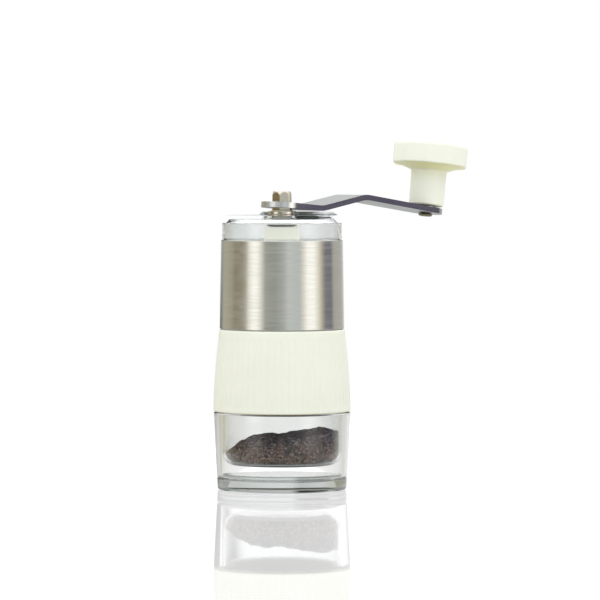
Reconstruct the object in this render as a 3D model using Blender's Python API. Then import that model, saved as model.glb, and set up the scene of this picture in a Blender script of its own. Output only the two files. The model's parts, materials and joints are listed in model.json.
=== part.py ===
"""Hand crank coffee grinder: clear jar, ribbed grip, steel sleeve, clear lid, bent crank arm and knob.

The grinder stands on its base at the origin, with its axis up +Z and its crank arm towards +X.
Sizes are in millimetres, and MM turns them into the scene's metres.
"""

import math

import bmesh
import bpy
from mathutils import Matrix, Vector

MM = 0.001
GAP = 0.3  # left between pieces that touch
EDGE = 0.3  # bevel on a small edge
SOFT_EDGE = 0.4  # bevel on a moulded edge

# Jar: a clear base disc, a clear outer wall and a clear inner cup.
BASE_RADIUS = 25.8
BASE_HEIGHT = 4.8
JAR_TOP = 31.0
JAR_TAPER = 0.0516  # how much the radius grows for each millimetre of height
NECK_RADIUS = 25.05
NECK_TOP = 38.5
SHELL_BORE = 24.25
SPIGOT_RADIUS = 23.9
SPIGOT_RISE = 1.8
FOOT_BEVEL = 0.5
CUP_RADIUS = 23.95
CUP_WALL = 0.95
CUP_FLOOR = 11.0
CUP_CORNER = 5.0
CUP_FLANGE = 0.9
CUP_FLANGE_RADIUS = NECK_RADIUS - 0.05

# Grip: a barrel that narrows upwards from its widest point.
GRIP_BOTTOM = JAR_TOP + GAP
GRIP_TOP = 64.1
GRIP_WIDEST = 27.5
GRIP_SWELL_END = 33.0
GRIP_NARROWING = 2.45
GRIP_WALL = 0.9

# Steel sleeve.
SLEEVE_BOTTOM = GRIP_TOP + GAP
SLEEVE_TOP = 99.9
SLEEVE_LOW_RADIUS = 24.95
SLEEVE_HIGH_RADIUS = 24.4
SLEEVE_WALL = 0.5
SLEEVE_LIP_BORE = 23.6

# Hopper body.
HOPPER_TOP = 93.0
HOPPER_RADIUS = 23.55
HOPPER_BORE = 22.2
SOCKET_BORE = 25.35
SOCKET_CEILING = 41.4
CORE_SLOT_OUTER = 24.0  # a slot between the outer wall and the burr pocket keeps the moulding's walls thin
CORE_SLOT_INNER = 23.2
CORE_SLOT_MOUTH = 24.4
CORE_SLOT_TOP = 57.0
POCKET_RIM = 22.6
BURR_POCKET = 18.6
BURR_POCKET_TOP = 59.5
THROAT_RADIUS = 15.5
FUNNEL_TOP = 71.0
THROAT_RISE = 2.0
SEAL_OUTER = 25.0
SEAL_INNER = 22.9
SCREW_CIRCLE = 20.6
SCREW_ANGLES = (86.0, 206.0, 326.0)
SCREW_BORE = 1.2
SCREW_BORE_TOP = 52.0
SCREW_TIP = 51.0
SCREW_RADIUS = 0.9
SCREW_HEAD = 1.7
SCREW_HEAD_HEIGHT = 1.1
RETAINER_OUTER = 22.2
RETAINER_INNER = 15.6
RETAINER_THICKNESS = 1.2

# Bridges that carry the shaft, each a ring, three arms and a hub.
BRIDGE_RADIUS = HOPPER_BORE - GAP
BRIDGE_RIM = 1.5
BRIDGE_HUB = 7.0
BRIDGE_ARM_WIDTH = 4.4
BRIDGE_ARM_HEIGHT = 3.0
BRIDGE_ARM_ANGLES = (30.0, 150.0, 270.0)
TOP_BRIDGE_Z = 89.7
TOP_HUB_TOP = 105.0
LOW_BRIDGE_Z = 71.4
LOW_HUB_BOTTOM = 65.5
UPPER_BUSH_RADIUS = 5.0
UPPER_BUSH_BORE = 5.3  # in the bridge's hub
UPPER_BUSH_FLANGE = 6.0
UPPER_BUSH_DEPTH = 1.3  # how far its lower end is above the bridge's underside
LOWER_BUSH_RADIUS = 4.6
LOWER_BUSH_BORE = 4.9
LOWER_BUSH_FLANGE = 5.8
BUSH_FLANGE_HEIGHT = 1.1

# Shaft and its drive end.
SHAFT_RADIUS = 3.0
SHAFT_BORE = SHAFT_RADIUS + GAP
SHAFT_BOTTOM = 35.5
SHAFT_THREAD = 2.5
SHAFT_THREAD_TOP = 43.9
SHAFT_KEY = 5.0
SHAFT_KEY_TOP = 63.0
CLIP_GROOVE_Z = 88.1
CLIP_GROOVE = 2.4
CLIP_GROOVE_HEIGHT = 1.2
CLIP_RADIUS = 4.6
CLIP_THICKNESS = 0.8
CLIP_MOUTH = 50.0
THRUST_RADIUS = 5.6
SPRING_SEAT_RADIUS = 5.2
COLLAR_BOTTOM = 107.8
COLLAR_RADIUS = 4.4
FLANGE_BOTTOM = 109.9
FLANGE_TOP = 111.3
FLANGE_RADIUS = 5.6
SHOULDER_HEX = 7.8
SHOULDER_TOP = 111.8
DRIVE_HEX = 7.0
DRIVE_TOP = 119.3
DRIVE_NOSE = ((2.5, 0.0), (3.1, 0.45), (3.6, 1.1), (3.9, 2.0), (4.1, 2.8))  # radius, and how far below the top

# Burrs. The inner one slides down the shaft as the adjusting nut is unscrewed.
BURR_BOTTOM = 45.1
BURR_TOP = 59.2
BURR_RADIUS = 18.3
BURR_TEETH = 15
BURR_BORE = ((45.1, 14.65, 0.3), (48.5, 13.95, 0.6), (53.5, 12.7, 1.4), (59.2, 12.0, 2.4))  # height, tip, depth
BURR_TWIST = 40.0
CONE_BOTTOM = 46.3
CONE_TOP = 60.3
CONE_RADIUS = 14.1
CONE_TEETH = 12
CONE_SIDE = ((60.3, 6.4, 0.8), (57.0, 8.3, 1.6), (52.5, 11.3, 1.0), (48.5, 13.25, 0.4))
BURR_KEY = 10.0
HUB_TOP = 51.5
HUB_FLANGE_RADIUS = 9.5
HUB_FLANGE_HEIGHT = 1.1
CLICK_INNER = 3.2
CLICK_OUTER = 8.0
CLICK_THICKNESS = 0.6
SPRING_TOP = 63.0
SPRING_BOTTOM = HUB_TOP + GAP
SPRING_RADIUS = 3.95
SPRING_WIRE = 0.4
SPRING_TURNS = 5.0
NUT_RADIUS = 9.5
NUT_BOTTOM = 37.6
NUT_WHEEL_HEIGHT = 4.4
NUT_BOSS_RADIUS = 5.5
NUT_BEVEL = 0.6
NUT_LOBES = 8
NUT_LOBE_DEPTH = 1.3

# Lid.
LID_SEAT = SLEEVE_TOP + GAP
LID_NECK = 23.95
LID_RIM = 24.6
LID_TOP = 110.0
LID_BORE = 6.2
LID_WALL = 1.65
LID_PLATE = 2.1
LID_RIM_ROUND = 1.1
LID_CROWN = ((11.0, 0.1), (18.0, 0.6), (23.0, 0.9))  # radius, and how far below the lid's top
PLUG_RADIUS = 23.25
PLUG_BOTTOM_Z = HOPPER_TOP + 0.4
RAISED_TOP = 111.05
RAISED_WALL = 1.4
RAISED_INSET = 0.9
RAISED_RADIUS = 9.4
TAB_RADIUS = 6.0
TAB_REACH = 16.6
TAB_ANGLE = -47.0

# Crank arm: a flat strip, bent twice, that sits on the drive end with a droop.
ARM_HEIGHT = 113.5
ARM_DROOP = 4.5
ARM_THICKNESS = 2.2
ARM_HUB_RADIUS = 8.4
ARM_END_RADIUS = 6.9
ARM_REACH = 87.0
ARM_BENDS = ((15.7, 0.0), (41.5, 6.4))  # along the arm, and above its hub
ARM_BEND_LENGTH = 5.0
ARM_END_DROP = 3.0  # degrees, of the outer stretch against the hub
ARM_HOLE = 7.9
AXLE_RADIUS = 1.9
AXLE_HEAD = 2.9
AXLE_HEAD_HEIGHT = 1.1
AXLE_TOP = 25.15
AXLE_GROOVE = 1.4
AXLE_GROOVE_Z = 23.75
AXLE_GROOVE_HEIGHT = 1.0
AXLE_WASHER_RADIUS = 4.2
AXLE_WASHER_THICKNESS = 0.45
AXLE_WASHER_LIFT = 0.2
AXLE_CLIP_INNER = 1.65
AXLE_CLIP_OUTER = 3.6
AXLE_CLIP_MOUTH = 60.0

# Knob, measured along its own axis from the middle of the arm's plate.
KNOB_SIDES = 10
KNOB_RADIUS = 15.85
KNOB_STEM_LOW = 7.15
KNOB_STEM_HIGH = 7.3
KNOB_STEM_BOTTOM = 2.0
KNOB_FLARE = 16.7
KNOB_CAP_BOTTOM = 18.6
KNOB_TOP = 27.85
KNOB_EDGE = 1.3
KNOB_CLIP_ROOM = 4.6
PLUG_RECESS = 9.6
PLUG_BOTTOM = 25.55

# Segments round a turned piece, by its size.
LARGE = 40
MEDIUM = 32
SMALL = 24
AXLE_SEGMENTS = 16
HOLE_SEGMENTS = 12


def clear_scene():
    for obj in list(bpy.data.objects):
        bpy.data.objects.remove(obj)


# Materials


def material(name, colour, roughness, metallic=0.0, transmission=0.0):
    """A Principled material, shared by every piece that names it."""
    found = bpy.data.materials.get(name)
    if found:
        return found
    made = bpy.data.materials.new(name)
    made.use_nodes = True
    made.diffuse_color = (*colour, 1.0)
    shader = made.node_tree.nodes["Principled BSDF"]
    shader.inputs["Base Color"].default_value = (*colour, 1.0)
    shader.inputs["Roughness"].default_value = roughness
    shader.inputs["Metallic"].default_value = metallic
    shader.inputs["Transmission Weight"].default_value = transmission
    return made


def clear_plastic():
    return material("clear_plastic", (0.93, 0.95, 0.95), 0.05, transmission=1.0)


def cream_plastic():
    return material("cream_plastic", (0.86, 0.85, 0.72), 0.42)


def brushed_steel():
    return material("brushed_steel", (0.55, 0.54, 0.51), 0.32, metallic=1.0)


def polished_steel():
    return material("polished_steel", (0.62, 0.61, 0.6), 0.18, metallic=1.0)


def dark_steel():
    return material("dark_steel", (0.1, 0.1, 0.11), 0.35, metallic=1.0)


def bronze():
    return material("bronze", (0.45, 0.31, 0.16), 0.35, metallic=1.0)


def ceramic():
    return material("ceramic", (0.88, 0.87, 0.84), 0.4)


def white_nylon():
    return material("white_nylon", (0.8, 0.8, 0.77), 0.45)


def silicone():
    return material("silicone", (0.75, 0.76, 0.74), 0.6)


# Outlines of a ring, each a function of the angle round it


def hexagon(across_flats):
    """A hexagon with two of its flats facing along X."""

    def radius(angle):
        return across_flats / 2 / math.cos((angle + math.pi / 6) % (math.pi / 3) - math.pi / 6)

    return radius


def polygon(corner_radius, sides):
    """A regular polygon with a corner on X."""
    step = 2 * math.pi / sides

    def radius(angle):
        return corner_radius * math.cos(step / 2) / math.cos(angle % step - step / 2)

    return radius


def inside_circle(outline, circle_radius):
    """The outline, cut back to a circle: how a chamfer or a turned nose meets a hexagon."""

    def radius(angle):
        return min(outline(angle), circle_radius)

    return radius


def lobes(outer_radius, depth, count):
    """A circle with shallow hollows between its lobes."""

    def radius(angle):
        return outer_radius - depth * (0.5 - 0.5 * math.cos(count * angle)) ** 2

    return radius


def teeth(tip_radius, depth, count, turn):
    """Saw teeth, turned round the axis by an angle in degrees."""

    def radius(angle):
        along = (angle - math.radians(turn)) / (2 * math.pi) * count % 1.0
        return tip_radius + depth * along

    return radius


# Meshes


def level_ring(mesh, level, segments):
    """The vertices of one level of a turned shape: a ring of them, or one on the axis."""
    outline, height = level
    if outline == 0:
        return [mesh.verts.new((0, 0, height * MM))]
    points = []
    for index in range(segments):
        angle = 2 * math.pi * index / segments
        radius = (outline(angle) if callable(outline) else outline) * MM
        points.append(mesh.verts.new((radius * math.cos(angle), radius * math.sin(angle), height * MM)))
    return points


def bridge_levels(mesh, upper, lower):
    """Faces between two levels of a shape that runs down its outer side."""
    count = max(len(upper), len(lower))
    for index in range(count):
        following = (index + 1) % count
        if len(upper) == 1:
            mesh.faces.new((upper[0], lower[index], lower[following]))
        elif len(lower) == 1:
            mesh.faces.new((upper[index], lower[0], upper[following]))
        else:
            mesh.faces.new((upper[index], lower[index], lower[following], upper[following]))


def turned_mesh(levels, segments):
    """A closed shape round Z. Its levels run down the outer side and back up the inner side.

    A solid shape starts and ends on the axis, and the levels of a hollow one close on themselves.
    """
    mesh = bmesh.new()
    rings = [level_ring(mesh, level, segments) for level in levels]
    for upper, lower in zip(rings, rings[1:]):
        bridge_levels(mesh, upper, lower)
    if len(rings[0]) > 1:
        bridge_levels(mesh, rings[-1], rings[0])
    return mesh


def strip_mesh(sections):
    """A closed shape through sections, each a loop of points with the same count."""
    mesh = bmesh.new()
    loops = [[mesh.verts.new(Vector(point) * MM) for point in section] for section in sections]
    for near, far in zip(loops, loops[1:]):
        for index in range(len(near)):
            following = (index + 1) % len(near)
            mesh.faces.new((near[index], near[following], far[following], far[index]))
    mesh.faces.new(reversed(loops[0]))
    mesh.faces.new(loops[-1])
    bmesh.ops.recalc_face_normals(mesh, faces=mesh.faces)
    return mesh


def prism_mesh(outline, low, high, inset=0.0):
    """An outline of (x, y) points between two heights, its top drawn in towards its middle."""
    middle = sum((Vector(point) for point in outline), Vector((0, 0))) / len(outline)
    sections = []
    for height, drawn in ((low, 0.0), (high, inset)):
        loop = []
        for point in outline:
            outward = Vector(point) - middle
            at = Vector(point) - outward.normalized() * drawn
            loop.append((at.x, at.y, height))
        sections.append(loop)
    return strip_mesh(sections)


def add_piece(name, mesh, finish, parent, origin=(0, 0, 0), rotation=(0, 0, 0)):
    """An object from a mesh in its own frame, placed under its parent by location and rotation."""
    data = bpy.data.meshes.new(name)
    mesh.to_mesh(data)
    mesh.free()
    data.materials.append(finish)
    data.shade_smooth()
    data.set_sharp_from_angle(angle=math.radians(35))
    piece = bpy.data.objects.new(name, data)
    bpy.context.scene.collection.objects.link(piece)
    piece.parent = parent
    piece.location = Vector(origin) * MM
    piece.rotation_euler = rotation
    return piece


def add_joint(name, parent=None, origin=(0, 0, 0), rotation=(0, 0, 0)):
    """An empty on a joint's axis, which the pieces that move with the joint hang from."""
    empty = bpy.data.objects.new(name, None)
    bpy.context.scene.collection.objects.link(empty)
    empty.empty_display_size = 0.01
    empty.parent = parent
    empty.location = Vector(origin) * MM
    empty.rotation_euler = rotation
    return empty


def shape_with(piece, tool, operation):
    """Cuts the tool from the piece, or joins it on, with a Boolean modifier."""
    tool.hide_render = True
    tool.display_type = "WIRE"
    change = piece.modifiers.new(tool.name, "BOOLEAN")
    change.operation = operation
    change.object = tool


def add_turned(name, levels, finish, parent, segments=LARGE):
    return add_piece(name, turned_mesh(levels, segments), finish, parent)


def drill(piece, name, radius, low, high, at=(0.0, 0.0), segments=HOLE_SEGMENTS):
    """Cuts a straight upright hole in a piece."""
    cutter = turned_mesh([(0, high), (radius, high), (radius, low), (0, low)], segments)
    hole = add_piece(name, cutter, piece.data.materials[0], piece.parent, origin=(*at, 0))
    shape_with(piece, hole, "DIFFERENCE")


def on_circle(radius, degrees):
    return (radius * math.cos(math.radians(degrees)), radius * math.sin(math.radians(degrees)))


# Profiles that more than one piece follows


def jar_radius(height):
    return BASE_RADIUS + JAR_TAPER * height


def grip_radius(height):
    """The grip's outer radius, which narrows above the swell."""
    above = max(0.0, height - GRIP_SWELL_END) / (GRIP_TOP - GRIP_SWELL_END)
    return GRIP_WIDEST - GRIP_NARROWING * above**1.5


def steps(first, last, count):
    return [first + (last - first) * index / count for index in range(count + 1)]


def corner(centre, radius, start, end, count):
    """Points of an arc, in degrees, round a (radius, height) centre."""
    arc = []
    for degrees in steps(start, end, count):
        across, up = on_circle(radius, degrees)
        arc.append((centre[0] + across, centre[1] + up))
    return arc


# Jar


def add_jar(jar):
    rise = BASE_HEIGHT + SPIGOT_RISE
    base = [(0, rise), (SPIGOT_RADIUS - SOFT_EDGE, rise), (SPIGOT_RADIUS, rise - SOFT_EDGE)]
    base += [(SPIGOT_RADIUS, BASE_HEIGHT), (jar_radius(BASE_HEIGHT) - EDGE, BASE_HEIGHT)]
    base += [(jar_radius(BASE_HEIGHT), BASE_HEIGHT - EDGE), (jar_radius(FOOT_BEVEL), FOOT_BEVEL)]
    base += [(BASE_RADIUS - FOOT_BEVEL, 0), (0, 0)]
    add_turned("jar_base", base, clear_plastic(), jar)

    low = BASE_HEIGHT + GAP
    shell = [(NECK_RADIUS, NECK_TOP), (NECK_RADIUS, JAR_TOP), (jar_radius(JAR_TOP) - EDGE, JAR_TOP)]
    shell += [(jar_radius(height), height) for height in (JAR_TOP - SOFT_EDGE, low + EDGE)]
    shell += [(jar_radius(low) - EDGE, low), (SHELL_BORE, low), (SHELL_BORE, NECK_TOP)]
    add_turned("jar_shell", shell, clear_plastic(), jar)

    add_turned("jar_cup", cup_levels(), clear_plastic(), jar)


def cup_levels():
    """The inner cup: a rim flange over the neck, straight walls and a floor with rounded corners."""
    flange_low = NECK_TOP + GAP
    flange_high = flange_low + CUP_FLANGE
    inner = CUP_RADIUS - CUP_WALL
    outer_arc = corner((CUP_RADIUS - CUP_CORNER, CUP_FLOOR - CUP_WALL + CUP_CORNER), CUP_CORNER, 0, -90, 3)
    inner_corner = CUP_CORNER - CUP_WALL
    inner_arc = corner((inner - inner_corner, CUP_FLOOR + inner_corner), inner_corner, -90, 0, 3)
    inside = [(0, CUP_FLOOR)] + inner_arc + [(inner, flange_high)]
    flange = [(CUP_FLANGE_RADIUS, flange_high), (CUP_FLANGE_RADIUS, flange_low), (CUP_RADIUS, flange_low)]
    return inside + flange + outer_arc + [(0, CUP_FLOOR - CUP_WALL)]


# Housing


def hopper_levels():
    """A tube with a funnel above the burr pocket, and a socket for the jar's neck below it."""
    outer_low = GRIP_WALL + GAP
    bottom = GRIP_BOTTOM + SOFT_EDGE
    levels = [(HOPPER_RADIUS, HOPPER_TOP), (HOPPER_RADIUS, GRIP_TOP + GRIP_WALL)]
    levels += [(grip_radius(z) - outer_low, z) for z in steps(GRIP_TOP - 0.1, bottom, 4)]
    levels += [(SOCKET_BORE, bottom), (SOCKET_BORE, SOCKET_CEILING), (CORE_SLOT_MOUTH, SOCKET_CEILING)]
    levels += [(CORE_SLOT_OUTER, CORE_SLOT_TOP), (CORE_SLOT_INNER, CORE_SLOT_TOP)]
    levels += [(CORE_SLOT_INNER, SOCKET_CEILING), (POCKET_RIM, SOCKET_CEILING)]
    levels += [(POCKET_RIM, BURR_BOTTOM - GAP), (BURR_POCKET, BURR_BOTTOM - GAP)]
    levels += [(BURR_POCKET, BURR_POCKET_TOP), (THROAT_RADIUS, BURR_POCKET_TOP)]
    levels += [(THROAT_RADIUS, BURR_POCKET_TOP + THROAT_RISE), (HOPPER_BORE, FUNNEL_TOP), (HOPPER_BORE, HOPPER_TOP)]
    return levels


def add_casing(housing):
    body = add_turned("hopper_body", hopper_levels(), cream_plastic(), housing)
    for number, angle in enumerate(SCREW_ANGLES, 1):
        at = on_circle(SCREW_CIRCLE, angle)
        drill(body, f"screw_bore_{number}", SCREW_BORE, BURR_BOTTOM - 1.0, SCREW_BORE_TOP, at)

    outer = [(grip_radius(GRIP_TOP) - EDGE, GRIP_TOP)]
    outer += [(grip_radius(z), z) for z in steps(GRIP_TOP - SOFT_EDGE, GRIP_BOTTOM + SOFT_EDGE, 5)]
    outer.append((GRIP_WIDEST - EDGE, GRIP_BOTTOM))
    inner = [(grip_radius(z) - GRIP_WALL, z) for z in steps(GRIP_BOTTOM, GRIP_TOP, 3)]
    add_turned("grip_sleeve", outer + inner, cream_plastic(), housing)

    lip = SLEEVE_TOP - SLEEVE_WALL
    sleeve = [(SLEEVE_HIGH_RADIUS - 0.2, SLEEVE_TOP), (SLEEVE_HIGH_RADIUS, SLEEVE_TOP - 0.2)]
    sleeve += [(SLEEVE_LOW_RADIUS, SLEEVE_BOTTOM), (SLEEVE_LOW_RADIUS - SLEEVE_WALL, SLEEVE_BOTTOM)]
    sleeve += [(SLEEVE_HIGH_RADIUS - SLEEVE_WALL, lip - 0.1), (SLEEVE_LIP_BORE, lip), (SLEEVE_LIP_BORE, SLEEVE_TOP)]
    add_turned("steel_sleeve", sleeve, brushed_steel(), housing)

    seal_low = NECK_TOP + CUP_FLANGE + 2 * GAP
    seal = washer_levels(SEAL_INNER, SEAL_OUTER, seal_low, SOCKET_CEILING - GAP)
    add_turned("jar_seal", seal, silicone(), housing)


def add_bridge(name, parent, base, hub_low, hub_high, hub_bore):
    """A ring with three arms and a hub, joined into one piece."""
    top = base + BRIDGE_ARM_HEIGHT
    rim = BRIDGE_RADIUS - BRIDGE_RIM
    ring = [(BRIDGE_RADIUS, top), (BRIDGE_RADIUS, base), (rim, base), (rim, top)]
    bridge = add_turned(name, ring, cream_plastic(), parent, MEDIUM)
    middle = (hub_bore + BRIDGE_HUB) / 2
    for number, angle in enumerate(BRIDGE_ARM_ANGLES, 1):
        half = BRIDGE_ARM_WIDTH / 2
        ends = (middle, BRIDGE_RADIUS - BRIDGE_RIM / 2)
        outline = [(ends[0], -half), (ends[1], -half), (ends[1], half), (ends[0], half)]
        bar = prism_mesh(outline, base + 0.2, top - 0.2)
        arm = add_piece(f"{name}_arm_{number}", bar, cream_plastic(), parent, rotation=(0, 0, math.radians(angle)))
        shape_with(bridge, arm, "UNION")
    tube = [(BRIDGE_HUB - SOFT_EDGE, hub_high), (BRIDGE_HUB, hub_high - SOFT_EDGE), (BRIDGE_HUB, hub_low)]
    tube += [(hub_bore, hub_low), (hub_bore, hub_high)]
    hub = add_turned(f"{name}_hub", tube, cream_plastic(), parent, SMALL)
    shape_with(bridge, hub, "UNION")


def add_bearings(housing):
    add_bridge("top_bridge", housing, TOP_BRIDGE_Z, TOP_BRIDGE_Z, TOP_HUB_TOP, UPPER_BUSH_BORE)
    low = TOP_BRIDGE_Z + UPPER_BUSH_DEPTH
    flange_low = TOP_HUB_TOP + GAP
    high = flange_low + BUSH_FLANGE_HEIGHT
    upper = [(UPPER_BUSH_FLANGE, high), (UPPER_BUSH_FLANGE, flange_low), (UPPER_BUSH_RADIUS, flange_low)]
    upper += [(UPPER_BUSH_RADIUS, low), (SHAFT_BORE, low), (SHAFT_BORE, high)]
    add_turned("upper_bush", upper, dark_steel(), housing, SMALL)

    high = LOW_BRIDGE_Z + BRIDGE_ARM_HEIGHT
    add_bridge("lower_bridge", housing, LOW_BRIDGE_Z, LOW_HUB_BOTTOM, high, LOWER_BUSH_BORE)
    flange_high = LOW_HUB_BOTTOM - GAP
    low = flange_high - BUSH_FLANGE_HEIGHT + 0.2
    lower = [(LOWER_BUSH_RADIUS, high), (LOWER_BUSH_RADIUS, flange_high), (LOWER_BUSH_FLANGE, flange_high)]
    lower += [(LOWER_BUSH_FLANGE, low), (SHAFT_BORE, low), (SHAFT_BORE, high)]
    add_turned("lower_bush", lower, bronze(), housing, SMALL)


def outer_burr_levels():
    """A ceramic ring whose toothed bore narrows upwards, and whose teeth wind round as they rise."""
    levels = [(BURR_RADIUS, BURR_TOP), (BURR_RADIUS, BURR_BOTTOM)]
    for height, radius, depth in BURR_BORE:
        turn = BURR_TWIST * (height - BURR_BOTTOM) / (BURR_TOP - BURR_BOTTOM)
        levels.append((teeth(radius, depth, BURR_TEETH, turn), height))
    return levels


def add_burr_seat(housing):
    add_turned("outer_burr", outer_burr_levels(), ceramic(), housing, 3 * BURR_TEETH)
    high = BURR_BOTTOM - 2 * GAP
    low = high - RETAINER_THICKNESS
    ring = washer_levels(RETAINER_INNER, RETAINER_OUTER, low, high)
    retainer = add_turned("burr_retainer", ring, polished_steel(), housing)
    for number, angle in enumerate(SCREW_ANGLES, 1):
        at = on_circle(SCREW_CIRCLE, angle)
        drill(retainer, f"retainer_hole_{number}", SCREW_BORE, low - 1.0, high + 1.0, at)
        head = low - GAP
        foot = head - SCREW_HEAD_HEIGHT
        screw = [(0, SCREW_TIP), (SCREW_RADIUS, SCREW_TIP - 0.6), (SCREW_RADIUS, head), (SCREW_HEAD, head)]
        screw += [(SCREW_HEAD, foot + EDGE), (SCREW_HEAD - SOFT_EDGE, foot), (0, foot)]
        mesh = turned_mesh(screw, HOLE_SEGMENTS)
        add_piece(f"retainer_screw_{number}", mesh, polished_steel(), housing, origin=(*at, 0))


# Shaft


def shaft_levels():
    """From the domed hexagon that the arm fits, down to the thread that the adjusting nut turns on."""
    drive = hexagon(DRIVE_HEX)
    shoulder = hexagon(SHOULDER_HEX)
    key = hexagon(SHAFT_KEY)
    levels = [(0, DRIVE_TOP)]
    levels += [(inside_circle(drive, radius), DRIVE_TOP - drop) for radius, drop in DRIVE_NOSE]
    levels += [(drive, SHOULDER_TOP), (shoulder, SHOULDER_TOP), (shoulder, FLANGE_TOP)]
    levels += [(FLANGE_RADIUS - 0.2, FLANGE_TOP), (FLANGE_RADIUS, FLANGE_TOP - EDGE)]
    levels += [(FLANGE_RADIUS, FLANGE_BOTTOM), (COLLAR_RADIUS, FLANGE_BOTTOM), (COLLAR_RADIUS, COLLAR_BOTTOM)]
    groove_top = CLIP_GROOVE_Z + CLIP_GROOVE_HEIGHT
    levels += [(SHAFT_RADIUS, COLLAR_BOTTOM), (SHAFT_RADIUS, groove_top), (CLIP_GROOVE, groove_top)]
    levels += [(CLIP_GROOVE, CLIP_GROOVE_Z), (SHAFT_RADIUS, CLIP_GROOVE_Z), (SHAFT_RADIUS, SHAFT_KEY_TOP)]
    levels += [(key, SHAFT_KEY_TOP), (key, SHAFT_THREAD_TOP), (SHAFT_THREAD - EDGE, SHAFT_THREAD_TOP)]
    levels += [(SHAFT_THREAD, SHAFT_THREAD_TOP - 0.6), (SHAFT_THREAD, SHAFT_BOTTOM + 0.5)]
    levels += [(SHAFT_THREAD - 0.5, SHAFT_BOTTOM), (0, SHAFT_BOTTOM)]
    return levels


def open_ring_mesh(inner, outer, low, high, mouth):
    """A flat ring with a mouth of some degrees left open, for a clip."""
    sections = []
    for degrees in steps(mouth / 2, 360 - mouth / 2, 16):
        near = on_circle(inner, degrees)
        far = on_circle(outer, degrees)
        sections.append([(*near, low), (*far, low), (*far, high), (*near, high)])
    return strip_mesh(sections)


def spring_mesh():
    """A wire wound into a coil, its ends wound flatter than its middle."""
    around = 12
    sides = 4
    flattening = 0.75
    rise = SPRING_TOP - SPRING_BOTTOM - 2 * SPRING_WIRE
    count = int(SPRING_TURNS * around)
    sections = []
    for index in range(count + 1):
        along = index / count
        angle = 2 * math.pi * SPRING_TURNS * along
        share = along - math.sin(2 * math.pi * along) / (2 * math.pi) * flattening
        outward = Vector((math.cos(angle), math.sin(angle), 0))
        centre = outward * SPRING_RADIUS + Vector((0, 0, SPRING_BOTTOM + SPRING_WIRE + rise * share))
        loop = []
        for side in range(sides):
            across, up = on_circle(SPRING_WIRE, 360 * side / sides)
            loop.append(centre + outward * across + Vector((0, 0, up)))
        sections.append(loop)
    return strip_mesh(sections)


def washer_levels(inner, outer, low, high):
    return [(outer, high), (outer, low), (inner, low), (inner, high)]


def add_shaft(shaft):
    add_turned("drive_shaft", shaft_levels(), polished_steel(), shaft, SMALL)
    thrust = washer_levels(SHAFT_BORE, THRUST_RADIUS, COLLAR_BOTTOM - 1.1, COLLAR_BOTTOM - GAP)
    add_turned("thrust_washer", thrust, dark_steel(), shaft, SMALL)
    clip_low = CLIP_GROOVE_Z + 0.2
    clip = open_ring_mesh(CLIP_GROOVE + GAP, CLIP_RADIUS, clip_low, clip_low + CLIP_THICKNESS, CLIP_MOUTH)
    add_piece("shaft_clip", clip, dark_steel(), shaft)
    seat = washer_levels(SHAFT_BORE, SPRING_SEAT_RADIUS, SPRING_TOP + GAP, SPRING_TOP + 1.0)
    add_turned("spring_washer", seat, polished_steel(), shaft, SMALL)
    add_piece("burr_spring", spring_mesh(), polished_steel(), shaft)


# Inner burr and its adjuster


def inner_burr_levels():
    """A ceramic cone with winding teeth and a hexagonal bore."""
    bore = hexagon(BURR_KEY)
    levels = []
    for height, radius, depth in CONE_SIDE:
        turn = -BURR_TWIST * (height - CONE_BOTTOM) / (CONE_TOP - CONE_BOTTOM)
        levels.append((teeth(radius, depth, CONE_TEETH, turn), height))
    levels += [(CONE_RADIUS, CONE_BOTTOM + 2 * EDGE), (CONE_RADIUS - EDGE, CONE_BOTTOM)]
    levels += [(bore, CONE_BOTTOM), (bore, CONE_TOP)]
    return levels


def add_burr(burr):
    add_turned("inner_burr", inner_burr_levels(), ceramic(), burr, 3 * CONE_TEETH)
    flange = CONE_BOTTOM - GAP
    lug = hexagon(BURR_KEY - 2 * GAP)
    key = hexagon(SHAFT_KEY + 2 * GAP)
    low = flange - HUB_FLANGE_HEIGHT
    hub = [(lug, HUB_TOP), (lug, flange), (HUB_FLANGE_RADIUS, flange), (HUB_FLANGE_RADIUS, low), (key, low)]
    hub.append((key, HUB_TOP))
    add_turned("burr_hub", hub, white_nylon(), burr, SMALL)
    high = low - GAP
    click = washer_levels(CLICK_INNER, CLICK_OUTER, high - CLICK_THICKNESS, high)
    add_turned("click_washer", click, polished_steel(), burr, SMALL)


def add_adjuster(adjuster):
    """The nut that sets the grind: a boss, a lobed thumb wheel and a bore for the shaft's thread."""
    wheel_high = NUT_BOTTOM + NUT_WHEEL_HEIGHT
    boss_high = CONE_BOTTOM - HUB_FLANGE_HEIGHT - CLICK_THICKNESS - 3 * GAP
    wheel = lobes(NUT_RADIUS, NUT_LOBE_DEPTH, NUT_LOBES)
    rounded = lobes(NUT_RADIUS - NUT_BEVEL, NUT_LOBE_DEPTH, NUT_LOBES)
    bore = SHAFT_THREAD + GAP
    nut = [(NUT_BOSS_RADIUS, boss_high), (NUT_BOSS_RADIUS, wheel_high), (rounded, wheel_high)]
    nut += [(wheel, wheel_high - NUT_BEVEL), (wheel, NUT_BOTTOM + NUT_BEVEL), (rounded, NUT_BOTTOM)]
    nut += [(bore, NUT_BOTTOM), (bore, boss_high)]
    add_turned("adjusting_nut", nut, white_nylon(), adjuster, 4 * NUT_LOBES)


# Lid


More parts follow.
